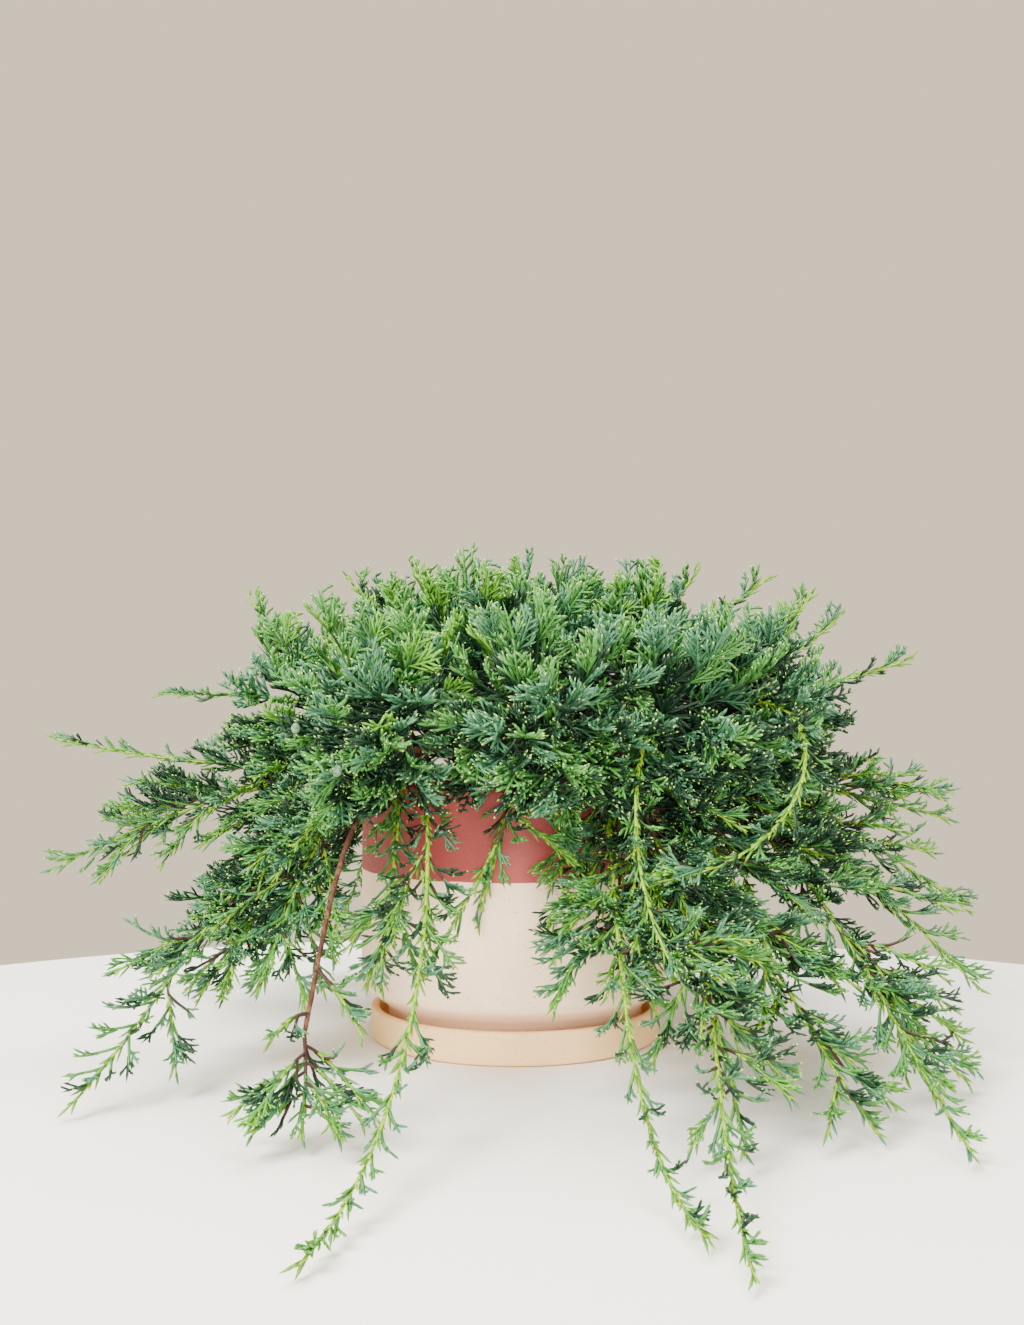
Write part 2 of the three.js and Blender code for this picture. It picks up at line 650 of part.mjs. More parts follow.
function makeMass(mass, masses) {
  const stems = mass.shoots.map((shoot) => stemSolid(shoot, SHOOT.stem, SHOOT.stemStep, true));
  let solid;
  if (mass.stem) {
    const stem = stemSolid(mass.stem, [TUFT.stem, TUFT.stem], SHOOT.stemStep, false);
    solid = fuse(stem, [coreSolid(mass.cores[0], mass.seed)]).subtract(mass.carrier);
  } else {
    solid = stems[0].subtract(mass.carrier);
  }
  solid = fuse(solid, mass.stem ? stems : stems.slice(1));
  const sprays = [];
  for (let i = 0; i < (mass.sprays ?? 0); i += 1) sprays.push(fitSpray(tuftSpray(mass, i), mass, masses));
  for (const shoot of mass.shoots) {
    const places = Math.floor((shoot.length - shoot.bare - SHOOT.tipSpray) / SHOOT.pitch) + 1;
    for (let k = 0; k < places; k += 1) {
      const spray = fitSpray(placedSpray(shoot, k), mass, masses);
      sprays.push(spray);
      if (spray) k += (shoot.spread > SHOOT.dense ? SHOOT.everyDense : SHOOT.every) - 1;
    }
    sprays.push(fitSpray(tipSpray(shoot), mass, masses));
  }
  const fused = fuse(solid, sprays.filter(Boolean).map(toManifold));
  return mesh(mass.name, fromManifold(fused), mass.colour, 0.85);
}

// The plant

const boughs = Object.fromEntries(OUTER.names.map((name, i) => [
  name, makeBough(`bough_${name}`, OUTER.azimuths[i], OUTER.starts[i % 3], OUTER),
]));
const innerBoughs = INNER.azimuths.map((azimuth, i) =>
  makeBough(`bough_inner_${i + 1}`, azimuth, INNER.start, INNER));

const bareFrom = boughs[BARE_LIMB.from];
const bareLimb = makeLimb('bough_bare', {
  ...BARE_LIMB, from: seatOn(bareFrom, BARE_LIMB.seat, BARE_LIMB.radii[0]), to: vector(BARE_LIMB.tip),
  carrier: bareFrom.room, colour: COLOURS.bark,
});

/** A tuft's middle, moved to the right with the mound. */
function settled(centre) {
  centre.x += TUFT.shift;
  return centre;
}

function planMasses() {
  const masses = [];
  for (const [i, name] of OUTER.names.entries()) {
    const centre = settled(round(OUTER.azimuths[i], TUFT.outer.reach, TUFT.outer.height));
    const from = seatOn(boughs[name], 3, TUFT.stem);
    masses.push(boneTuft(`tuft_${name}`, SEED.outer + i, from, boughs[name].room, centre, TUFT.outer));
  }
  for (const [i, azimuth] of INNER.azimuths.entries()) {
    const centre = settled(round(azimuth, TUFT.inner.reach, TUFT.inner.height));
    const { tip: from, room } = innerBoughs[i];
    masses.push(boneTuft(`tuft_inner_${i + 1}`, SEED.inner + i, from, room, centre, TUFT.inner));
  }
  const summit = settled(vector(TUFT.top.centre));
  masses.push(boneTuft('tuft_top', SEED.top, trunk.curve.getPoint(1), trunk.room, summit, TUFT.top));
  for (const [i, plan] of FRONT_SHOOTS.entries()) {
    const bough = boughs[plan.bough];
    const from = seatOn(bough, plan.seat, SHOOT.stem[0]);
    masses.push(boneMass(plan.name, SEED.shoots + i, from, bough.room, plan));
  }
  for (const [b, name] of REAR_SHOOTS.boughs.entries()) {
    for (const [j, turn] of REAR_SHOOTS.turns.entries()) {
      const kind = (b + j) % 3;
      const azimuth = OUTER.azimuths[OUTER.names.indexOf(name)] + turn;
      const tip = round(azimuth, REAR_SHOOTS.reaches[kind], REAR_SHOOTS.tips[kind]);
      const plan = { tip: tip.toArray(), bend: REAR_SHOOTS.bends[kind], spread: REAR_SHOOTS.spreads[kind] };
      const from = seatOn(boughs[name], 2 - j, SHOOT.stem[0]);
      const seed = SEED.rear + REAR_SHOOTS.turns.length * b + j;
      masses.push(boneMass(`shoot_${name}_${j + 1}`, seed, from, boughs[name].room, plan));
    }
  }
  masses.push(boneMass(FOOT_SHOOT.name, SEED.foot, bareLimb.tip, bareLimb.room, FOOT_SHOOT));
  masses.forEach(setBones);
  return masses;
}

const masses = planMasses();
const juniper = new THREE.Group();
juniper.add(makePot(), makeSaucer(), makeSoil(), trunk.mesh);
for (const bough of [...Object.values(boughs), ...innerBoughs, bareLimb]) juniper.add(bough.mesh);
for (const mass of masses) juniper.add(makeMass(mass, masses));

export default juniper;
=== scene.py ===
"""A creeping juniper that spills over a two-tone clay pot and its saucer.

Sizes in the classes are millimetres, +Z up and -Y towards the viewer, as in the part's source. Meshes are
written in metres, with their place in their vertices.
"""
from __future__ import annotations

import logging
import math
from dataclasses import dataclass, replace
from enum import Enum
from typing import Any, Callable, Iterable, Sequence

import bmesh
import bpy
import numpy as np
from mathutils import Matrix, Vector


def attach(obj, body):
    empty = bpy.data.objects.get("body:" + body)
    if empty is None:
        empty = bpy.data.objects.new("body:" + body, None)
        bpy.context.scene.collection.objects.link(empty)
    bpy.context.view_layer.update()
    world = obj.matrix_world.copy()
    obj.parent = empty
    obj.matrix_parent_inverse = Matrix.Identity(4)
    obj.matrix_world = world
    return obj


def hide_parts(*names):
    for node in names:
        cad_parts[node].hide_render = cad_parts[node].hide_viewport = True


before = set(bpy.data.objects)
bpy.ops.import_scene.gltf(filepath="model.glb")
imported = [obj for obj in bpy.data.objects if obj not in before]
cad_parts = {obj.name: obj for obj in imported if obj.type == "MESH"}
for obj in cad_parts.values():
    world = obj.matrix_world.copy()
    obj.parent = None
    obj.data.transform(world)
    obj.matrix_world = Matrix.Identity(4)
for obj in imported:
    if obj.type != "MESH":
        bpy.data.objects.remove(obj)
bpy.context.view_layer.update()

Array = np.ndarray
Pair = tuple[float, float]
Triple = tuple[float, float, float]
Bend = tuple[float, float, float, float]
MM = 0.001
UP = np.array([0.0, 0.0, 1.0])
TURN = 2 * math.pi
MIXERS = (127.1, 311.7, 74.7)
MIXED = 43758.5453
LOG = logging.getLogger("juniper")


# Small tools


def chance(seed: Any, i: Any, k: Any) -> Array:
    """A number from 0 to 1 that depends only on its arguments: the fraction of a large sine.

    Args:
        seed: The seed of a mass.
        i: The number of a spray or twig.
        k: Which of its numbers is drawn.

    Returns:
        The numbers, of the arguments' common shape.
    """
    wave = np.sin(sum(np.asarray(part) * mixer for part, mixer in zip((seed, i, k), MIXERS))) * MIXED
    return wave - np.floor(wave)


def varied(most: float, seed: Any, i: Any, k: Any) -> Array:
    """A factor drawn by chance from 1 - most to 1 + most."""
    return 1 - most + 2 * most * chance(seed, i, k)


def unit(vectors: Array) -> Array:
    """Vectors divided by their own lengths."""
    return vectors / np.maximum(np.linalg.norm(vectors, axis=-1, keepdims=True), 1e-9)


def square(wanted: Array, along: Array) -> Array:
    """Directions square to `along`, as near as they go to `wanted`."""
    return unit(wanted - np.sum(wanted * along, axis=-1, keepdims=True) * along)


def column(values: Array) -> Array:
    """Numbers with one more axis, so that they multiply vectors."""
    return np.asarray(values)[..., None]


def blend(a: Any, b: Any, t: Any) -> Any:
    """The value t of the way from a to b."""
    return a + (b - a) * t


def swung(a: Array, b: Array, angle: Array) -> Array:
    """The direction at an angle from a towards b, which are square to each other: a * cos + b * sin."""
    return a * np.cos(angle) + b * np.sin(angle)


def sign(numbers: Array) -> Array:
    """1 for even numbers and -1 for odd ones, which puts things to alternate sides."""
    return np.where(numbers % 2 == 0, 1.0, -1.0)


def linear(colour: Sequence[int]) -> tuple[float, float, float, float]:
    """A screen colour of 0 to 255 as the linear colour that shaders take, by the standard screen curve.

    Args:
        colour: Red, green and blue.

    Returns:
        Linear red, green, blue and a full alpha.
    """
    shares = [c / 255 for c in colour]
    red, green, blue = (c / 12.92 if c <= 0.04045 else ((c + 0.055) / 1.055) ** 2.4 for c in shares)
    return red, green, blue, 1.0


def ripple(x: Array, y: Array, z: Array, seed: float, waves: int = 6, faster: float = 1.45) -> Array:
    """Smooth noise from -1 to 1: a mean of sines of turned coordinates, each faster than the last.

    Args:
        x: First coordinate.
        y: Second coordinate.
        z: Third coordinate.
        seed: Moves the pattern.
        waves: How many sines.
        faster: Each one's speed by the last one's.

    Returns:
        The noise, of the coordinates' shape.
    """
    total = np.zeros(np.broadcast(x, y, z).shape)
    for n in range(waves):
        a, b, c = (TURN * float(chance(seed, n, k)) for k in (1, 2, 3))
        slanted = x * math.cos(a) + y * math.sin(a) * math.cos(b) + z * math.sin(b)
        total = total + np.sin(slanted * faster**n + c)
    return total / waves


def circle(steps: int) -> Array:
    """Angles round a circle, in even steps from 0."""
    return TURN * np.arange(steps) / steps


# Curves and meshes


@dataclass(frozen=True)
class Curve:
    """A cubic Bezier curve.

    Attributes:
        handles: Its four points.
        side: A level direction square to its straight line.
    """

    handles: Array
    side: Array

    @classmethod
    def bent(cls, start: Array, end: Array, bend: Sequence[float]) -> "Curve":
        """A curve between two points.

        Args:
            start: First point.
            end: Last point.
            bend: Rise of the two handles off the straight line, then their sway.

        Returns:
            The curve, whose handles lie at one and two thirds of the line, moved by the bend.
        """
        start, end = np.asarray(start, float), np.asarray(end, float)
        side = np.cross(UP, unit((end - start) * [1, 1, 0]))
        first = blend(start, end, 1 / 3) + UP * bend[0] + side * bend[2]
        second = blend(start, end, 2 / 3) + UP * bend[1] + side * bend[3]
        return cls(np.array([start, first, second, end]), side)

    def at(self, t: Any) -> Array:
        """Points at shares t of the way."""
        t, (a, b, c, d) = column(t), self.handles
        return (1 - t) ** 3 * a + 3 * (1 - t) ** 2 * t * b + 3 * (1 - t) * t**2 * c + t**3 * d

    def ahead(self, t: Any) -> Array:
        """Unit directions of travel at shares t of the way."""
        t, (a, b, c, d) = column(t), self.handles
        return unit((1 - t) ** 2 * (b - a) + 2 * (1 - t) * t * (c - b) + t**2 * (d - c))

    @property
    def length(self) -> float:
        """The sum of 200 chords."""
        return float(np.linalg.norm(np.diff(self.at(np.linspace(0, 1, 201)), axis=0), axis=1).sum())


@dataclass
class Surface:
    """A mesh in the making.

    Attributes:
        points: Vertices, in millimetres.
        faces: Vertex numbers, three or four to a face, wound so that they face outwards.
    """

    points: Array
    faces: Array

    @classmethod
    def joined(cls, parts: Iterable["Surface"]) -> "Surface":
        """Several surfaces as one.

        Args:
            parts: Surfaces with faces of one kind.

        Returns:
            Their points and faces, one surface after another.
        """
        points, faces, start = [], [], 0
        for part in parts:
            points.append(part.points)
            faces.append(part.faces + start)
            start += len(part.points)
        return cls(np.concatenate(points), np.concatenate(faces))


def grid(points: Array) -> Surface:
    """A surface over a grid of points, closed round its second direction.

    Args:
        points: Rows along the surface, columns round it. A row at one place closes an end.

    Returns:
        The surface, of quads, each between two rows and two columns.
    """
    rows, columns = points.shape[:2]
    here = np.arange(rows - 1)[:, None] * columns
    turn = np.arange(columns)[None, :]
    beside = (turn + 1) % columns
    corners = (here + turn, here + beside, here + columns + beside, here + columns + turn)
    return Surface(points.reshape(-1, 3), np.stack(corners, axis=-1).reshape(-1, 4))


def prisms(points: Array, radii: Array, face: Array, sides: int = 3) -> Surface:
    """Slender closed prisms along many short lines at once.

    Round each point but the last lies a ring: point + radius * (cos * across + sin * over), where across and
    over are square to the line. Each ring joins the next, the last joins the tip, and the first is closed.

    Args:
        points: The lines, as many as wanted, each with the same number of points.
        radii: The radius at each point, the last of which isn't used.
        face: A direction for each line that isn't along it.
        sides: Corners of a ring.

    Returns:
        The surface, of triangles.
    """
    count, steps = radii.shape
    along = unit(np.gradient(points, axis=1))
    across = unit(np.cross(face[:, None, :], along))
    over = np.cross(along, across)
    angle = circle(sides)
    ring = points[:, :-1, None] + radii[:, :-1, None, None] * (
        np.cos(angle)[:, None] * across[:, :-1, None] + np.sin(angle)[:, None] * over[:, :-1, None])
    place = np.concatenate([ring.reshape(count, -1, 3), points[:, -1:]], axis=1)
    pattern: list[tuple[int, int, int]] = []
    for k in range(steps - 1):
        for i in range(sides):
            a, b = k * sides + i, k * sides + (i + 1) % sides
            if k == steps - 2:
                pattern.append((a, b, (steps - 1) * sides))
            else:
                pattern += [(a, b, b + sides), (a, b + sides, a + sides)]
    pattern += [(0, i + 1, i) for i in range(1, sides - 1)]
    own = place.shape[1]
    faces = np.array(pattern)[None] + own * np.arange(count)[:, None, None]
    return Surface(place.reshape(-1, 3), faces.reshape(-1, 3))


def tube(curve: Curve, radius: Callable[[Array, Array], Array], rings: int, sides: int) -> Surface:
    """A closed tube along a curve: point + radius(t, angle) * (cos * across + sin * over).

    Args:
        curve: The line that it follows.
        radius: Its radius at shares t of the way and angles round it.
        rings: Steps along it.
        sides: Steps round it.

    Returns:
        The surface, of quads, each end closed onto the curve's own.
    """
    t = np.linspace(0, 1, rings)
    angle = circle(sides)
    along = curve.ahead(t)
    across = square(np.broadcast_to(curve.side, along.shape), along)
    over = np.cross(along, across)
    off = column(radius(t[:, None], angle[None, :]))
    ways = np.cos(angle)[None, :, None] * across[:, None] + np.sin(angle)[None, :, None] * over[:, None]
    first, last = (np.broadcast_to(curve.at(end), (1, sides, 3)) for end in (0, 1))
    return grid(np.concatenate([first, curve.at(t)[:, None] + off * ways, last]))


def turned(profile: Array, sides: int) -> Surface:
    """A closed profile of radius and height turned about the axis: (r cos a, r sin a, z).

    Args:
        profile: Radius and height along the section, counter-clockwise with the axis on its left.
        sides: Steps round it.

    Returns:
        The surface, of quads.
    """
    angle = circle(sides)
    r, z = profile[:, 0, None], profile[:, 1, None]
    return grid(np.stack([r * np.cos(angle), r * np.sin(angle), z + 0 * angle], axis=-1))


def rounded(corners: Sequence[Triple], steps: int = 7, most: float = 0.49, stretch: float = 8) -> Array:
    """A profile whose corners are rounded by quadratic curves between points on their two sides.

    Args:
        corners: Radius, height and rounding of each corner. The first and last aren't rounded.
        steps: Points on each rounding.
        most: Most of a side that a rounding takes.
        stretch: Straight parts are cut where they are twice as long as this, or longer.

    Returns:
        Radius and height along the profile.
    """
    path = [np.array(corners[0][:2], float)]
    for before, (r, z, size), after in zip(corners, corners[1:], corners[2:]):
        here = np.array([r, z])
        ways = [np.array(end[:2]) - here for end in (before, after)]
        a, b = (here + unit(way) * min(size, most * float(np.linalg.norm(way))) for way in ways)
        for t in np.linspace(0, 1, steps):
            path.append((1 - t) ** 2 * a + 2 * t * (1 - t) * here + t**2 * b)
    path.append(np.array(corners[-1][:2], float))
    fine = [path[0]]
    for a, b in zip(path, path[1:]):
        pieces = max(1, int(np.linalg.norm(b - a) / stretch))
        fine += [blend(a, b, (n + 1) / pieces) for n in range(pieces)]
    return np.array(fine)


# Shader tools


class Link:
    """A shader socket, or a plain number, that Python's operators do maths on."""

    def __init__(self, shader: "Shader", source: Any) -> None:
        """Keeps the shader that new nodes go into, and the socket or number."""
        self.shader = shader
        self.source = source

    def _maths(self, operation: str, *others: Any) -> "Link":
        """A Math node with this value and others as its inputs."""
        values = {n: value for n, value in enumerate((self, *others))}
        return self.shader.node("ShaderNodeMath", {"operation": operation}, values)

    def __add__(self, other: Any) -> "Link":
        """The sum."""
        return self._maths("ADD", other)

    def __sub__(self, other: Any) -> "Link":
        """The difference."""
        return self._maths("SUBTRACT", other)

    def __rsub__(self, other: Any) -> "Link":
        """The difference, from a number."""
        return Link(self.shader, other)._maths("SUBTRACT", self)

    def __mul__(self, other: Any) -> "Link":
        """The product."""
        return self._maths("MULTIPLY", other)

    __radd__ = __add__
    __rmul__ = __mul__

    def ramp(self, low: float, high: float) -> "Link":
        """0 below low, 1 above high, smooth between."""
        sockets = {"Value": self, "From Min": low, "From Max": high}
        return self.shader.node("ShaderNodeMapRange", {"interpolation_type": "SMOOTHSTEP"}, sockets)


class Shader:
    """A material's nodes, round one Principled shader."""

    def __init__(self, name: str, **constants: Any) -> None:
        """Makes the material and sets the shader's constant sockets.

        Args:
            name: The material's name.
            **constants: Socket names, with _ for spaces, and their values.
        """
        self.material = bpy.data.materials.new(name)
        self.material.use_nodes = True
        self.tree = self.material.node_tree
        self.principled = self.tree.nodes["Principled BSDF"]
        for socket, value in constants.items():
            self.principled.inputs[socket.replace("_", " ")].default_value = value

    def node(self, kind: str, settings: dict[str, Any], sockets: dict[Any, Any],
             output: int | str = 0) -> Link:
        """One new node.

        Args:
            kind: The node's type.
            settings: Its own properties.
            sockets: Values or links for its inputs, by name or number.
            output: Which output is handed on.

        Returns:
            The output.
        """
        made = self.tree.nodes.new(kind)
        for key, value in settings.items():
            setattr(made, key, value)
        for key, value in sockets.items():
            self._feed(made.inputs[key], value)
        return Link(self, made.outputs[output])

    def _feed(self, socket: Any, value: Any) -> None:
        """Links a socket, or sets its value.

        Args:
            socket: The socket.
            value: A link or a plain value.
        """
        if isinstance(value, Link) and isinstance(value.source, bpy.types.NodeSocket):
            self.tree.links.new(value.source, socket)
        else:
            socket.default_value = value.source if isinstance(value, Link) else value

    def feed(self, socket: str, value: Any) -> None:
        """Links or sets one of the Principled shader's sockets."""
        self._feed(self.principled.inputs[socket], value)

    def place(self) -> Link:
        """Object coordinates."""
        return self.node("ShaderNodeTexCoord", {}, {}, "Object")

    def axis(self, name: str) -> Link:
        """One of the object coordinates, in metres."""
        return self.node("ShaderNodeSeparateXYZ", {}, {"Vector": self.place()}, name)

    def noise(self, scale: float, detail: float = 3.0, stretch: Sequence[float] = (1, 1, 1)) -> Link:
        """Noise from 0 to 1 on object coordinates, stretched along the axes."""
        where = self.node("ShaderNodeMapping", {}, {"Vector": self.place(), "Scale": tuple(stretch)})
        return self.node("ShaderNodeTexNoise", {}, {"Vector": where, "Scale": scale, "Detail": detail})

    def spots(self, scale: float) -> Link:
        """Distance to the nearest of scattered points, in cells."""
        return self.node("ShaderNodeTexVoronoi", {}, {"Vector": self.place(), "Scale": scale}, "Distance")

    def mix(self, share: Any, a: Any, b: Any) -> Link:
        """A colour between two colours, which are a Mix node's inputs 6 and 7, and its output 2."""
        return self.node("ShaderNodeMix", {"data_type": "RGBA"}, {"Factor": share, 6: a, 7: b}, 2)

    def specks(self, scale: float, patches: float, share: float) -> Link:
        """Round specks round scattered points, in patches of a noise, at most `share` strong."""
        return (1 - self.spots(scale).ramp(0.08, 0.22)) * self.noise(patches, 1).ramp(0.45, 0.55) * share

    def grain(self) -> Link:
        """The grain of fired clay: fine noise, and coarser noise drawn out round the pot."""
        return self.noise(900, 3) * 0.6 + self.noise(120, 3, (1, 1, 4))

    def bump(self, height: Any, strength: float, depth: float) -> None:
        """Feeds a height to the normal, through a Bump node."""
        sockets = {"Height": height, "Strength": strength, "Distance": depth}
        self.feed("Normal", self.node("ShaderNodeBump", {}, sockets))


# Finishes


Colour = tuple[int, int, int]


class Slot(Enum):
    """The record's material slots."""

    POT = "pot_clay"
    SAUCER = "saucer_clay"
    SOIL = "potting_mix"
    BARK = "bark"
    MOUND = "mound_foliage"
    SHOOTS = "shoot_foliage"


@dataclass(frozen=True)
class DippedClay:
    """Matte cream clay with a rose dip round its upper part, and painted shade below the crease.

    Attributes:
        cream: Colour of the bare clay.
        cream_stain: Its colour where it is stained.
        rose: Colour of the dip.
        rose_stain: Its colour where it is stained.
        foot: Colour painted below the crease: painted shade and warm light bounced up from the saucer.
        speck: Colour of the specks.
        line: Height of the dip's edge.
        edge: Half the height over which the dip fades out.
        wave: Height of the waves of its edge.
        crease: Height below which the painted shade starts.
        fade: Height over which the painted shade fades in.
        relief: Depth of the grain.
    """

    cream: Colour = (255, 224, 193)
    cream_stain: Colour = (232, 203, 172)
    rose: Colour = (158, 67, 65)
    rose_stain: Colour = (142, 58, 56)
    foot: Colour = (230, 190, 158)
    speck: Colour = (150, 112, 92)
    line: float = 111
    edge: float = 0.25
    wave: float = 1.6
    crease: float = 34
    fade: float = 5
    relief: float = 0.6

    def make(self, name: str) -> bpy.types.Material:
        """The finished material.

        Args:
            name: Its name.

        Returns:
            Cream, mottled by two noises and specked, with painted shade below the crease, and rose above a
            slightly wavy line.
        """
        shader = Shader(name, Specular_IOR_Level=0.35)
        height = shader.axis("Z")
        wave = (shader.noise(38, 2) - 0.5) * (self.wave * MM)
        dip = (height + wave).ramp((self.line - self.edge) * MM, (self.line + self.edge) * MM)
        # Painted shade: below the crease the cream turns to the darker, warmer foot colour, standing for the
        # undercut's shade and light bounced from the saucer.
        painted_shade = 1 - height.ramp((self.crease - self.fade) * MM, self.crease * MM)
        cloud = shader.noise(22, 4)
        clay = shader.mix(painted_shade, linear(self.cream), linear(self.foot))
        clay = shader.mix(cloud.ramp(0.35, 0.75) * 0.22, clay, linear(self.cream_stain))
        rose = shader.mix(cloud.ramp(0.3, 0.7) * 0.35, linear(self.rose), linear(self.rose_stain))
        specks = shader.specks(330, 90, 0.6)
        shader.feed("Base Color", shader.mix(specks, shader.mix(dip, clay, rose), linear(self.speck)))
        shader.feed("Roughness", 0.74 - dip * 0.24 + cloud * 0.08)
        shader.bump(shader.grain() + dip * 0.8, 0.16, self.relief * MM)
        return shader.material


@dataclass(frozen=True)
class PlainClay:
    """Matte biscuit clay.

    Attributes:
        colour: Its colour.
        stain: Its colour where it is stained.
        speck: Colour of the specks.
        relief: Depth of the grain.
    """

    colour: Colour = (255, 213, 154)
    stain: Colour = (228, 184, 140)
    speck: Colour = (150, 116, 92)
    relief: float = 0.6

    def make(self, name: str) -> bpy.types.Material:
        """The finished material.

        Args:
            name: Its name.

        Returns:
            Clay, mottled, specked and finely grained.
        """
        shader = Shader(name, Specular_IOR_Level=0.3)
        cloud = shader.noise(24, 4)
        clay = shader.mix(cloud.ramp(0.35, 0.8) * 0.4, linear(self.colour), linear(self.stain))
        shader.feed("Base Color", shader.mix(shader.specks(310, 80, 0.55), clay, linear(self.speck)))
        shader.feed("Roughness", 0.76 + cloud * 0.1)
        shader.bump(shader.grain(), 0.16, self.relief * MM)
        return shader.material


@dataclass(frozen=True)
class Bark:
    """Thin, peeling, red-brown bark.

    Attributes:
        base: Its main colour.
        pale: Colour of the raised flakes.
        dark: Colour of the fissures.
        relief: Depth of the fissures.
    """

    base: Colour = (98, 58, 42)
    pale: Colour = (138, 92, 68)
    dark: Colour = (50, 30, 24)
    relief: float = 0.9

    def make(self, name: str) -> bpy.types.Material:
        """The finished material.

        Args:
            name: Its name.

        Returns:
            Bark, streaked and flaked, rough all over.
        """
        shader = Shader(name, Specular_IOR_Level=0.2)
        streak = shader.noise(190, 5, (1, 1, 0.35))
        fleck = shader.noise(560, 3)
        colour = shader.mix(streak.ramp(0.42, 0.66), linear(self.base), linear(self.pale))
        shader.feed("Base Color", shader.mix(1 - fleck.ramp(0.3, 0.48), colour, linear(self.dark)))
        shader.feed("Roughness", 0.78 + streak * 0.14)
        shader.bump(streak + fleck * 0.5, 0.6, self.relief * MM)
        return shader.material


@dataclass(frozen=True)
class PottingMix:
    """Damp, dark potting mix.

    Attributes:
        dark: Colour of its hollows.
        light: Colour of its crumbs.
        relief: Height of the crumbs.
    """

    dark: Colour = (38, 27, 20)
    light: Colour = (92, 66, 46)
    relief: float = 1.2

    def make(self, name: str) -> bpy.types.Material:
        """The finished material.

        Args:
            name: Its name.

        Returns:
            Mix, crumbed at two scales.
        """
        shader = Shader(name, Specular_IOR_Level=0.25)
        crumbs = shader.noise(260, 5)
        shader.feed("Base Color", shader.mix(crumbs.ramp(0.36, 0.68), linear(self.dark), linear(self.light)))
        shader.feed("Roughness", 0.82 + crumbs * 0.12)
        shader.bump(crumbs + shader.noise(900, 3) * 0.5, 0.8, self.relief * MM)
        return shader.material


@dataclass(frozen=True)
class Leaf:
    """One plain green of the scale leaves.

    Attributes:
        colour: Its colour.
        roughness: Its roughness.
    """

    colour: Colour
    roughness: float = 0.5

    def make(self, name: str) -> bpy.types.Material:
        """The finished material, of one base colour with a waxy gloss."""
        colour = linear(self.colour)
        return Shader(name, Base_Color=colour, Roughness=self.roughness, Specular_IOR_Level=0.35).material


@dataclass(frozen=True)
class Bloom:
    """Blue-green skin with a pale, waxy bloom.

    Attributes:
        skin: Its own colour.
        wax: Colour of the bloom.
        relief: Thickness of the bloom.
    """

    skin: Colour = (72, 106, 78)
    wax: Colour = (122, 150, 118)
    relief: float = 0.2

    def make(self, name: str) -> bpy.types.Material:
        """The finished material.

        Args:
            name: Its name.

        Returns:
            Glossy skin under a patchy, matt bloom.
        """
        shader = Shader(name, Specular_IOR_Level=0.35)
        patch = shader.noise(420, 3).ramp(0.35, 0.65)
        shader.feed("Base Color", shader.mix(patch, linear(self.skin), linear(self.wax)))
        shader.feed("Roughness", 0.45 + patch * 0.3)
        shader.bump(patch, 0.2, self.relief * MM)
        return shader.material


class Tone(Enum):
    """The plain colours that sprays and twigs are dealt."""

    # DEEP is dealt by chance, and also to the mound's spray axes and inner twigs as painted shade.
    DEEP = Leaf((23, 56, 34))
    BLUE = Leaf((66, 118, 82))
    MID = Leaf((70, 128, 56))
    FRESH = Leaf((92, 150, 46))
    TIP = Leaf((182, 220, 112))
    STEM = Leaf((138, 174, 32))
    WOOD = Leaf((62, 40, 30), 0.8)

    @property
    def number(self) -> int:
        """Its place in the list of tones."""
        return list(Tone).index(self)


def add_piece(name: str, surface: Surface, material: bpy.types.Material,
              replaced: Sequence[str] = (), smooth: bool = True) -> bpy.types.Object:
    """Makes a piece of the object, which rides on its body.

    Args:
        name: The piece's name.
        surface: Its mesh, in millimetres.
        material: Its material.
        replaced: CAD nodes that it stands for.
        smooth: Whether its faces are shaded smooth.

    Returns:
        The piece.
    """
    mesh = bpy.data.meshes.new(name)
    corners = surface.faces.shape[1]
    mesh.vertices.add(len(surface.points))
    mesh.vertices.foreach_set("co", (surface.points * MM).astype(np.float32).ravel())
    mesh.loops.add(surface.faces.size)
    mesh.loops.foreach_set("vertex_index", surface.faces.astype(np.int32).ravel())
    mesh.polygons.add(len(surface.faces))
    mesh.polygons.foreach_set("loop_start", np.arange(len(surface.faces), dtype=np.int32) * corners)
    mesh.polygons.foreach_set("use_smooth", np.full(len(surface.faces), smooth))
    mesh.update(calc_edges=True)
    mesh.materials.append(material)
    piece = bpy.data.objects.new(name, mesh)
    bpy.context.scene.collection.objects.link(piece)
    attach(piece, "root")
    if replaced:
        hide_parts(*replaced)
    LOG.info("%s: %d triangles", name, len(surface.faces) * (corners - 2))
    return piece


def merge(piece: bpy.types.Object) -> None:
    """Closes a piece's poles by merging points that share a place, and drops faces without area.

    Args:
        piece: The piece.
    """
    work = bmesh.new()
    work.from_mesh(piece.data)
    bmesh.ops.remove_doubles(work, verts=work.verts, dist=1e-6)
    bmesh.ops.dissolve_degenerate(work, edges=work.edges, dist=1e-7)
    work.to_mesh(piece.data)
    work.free()


# Pot, saucer and potting mix


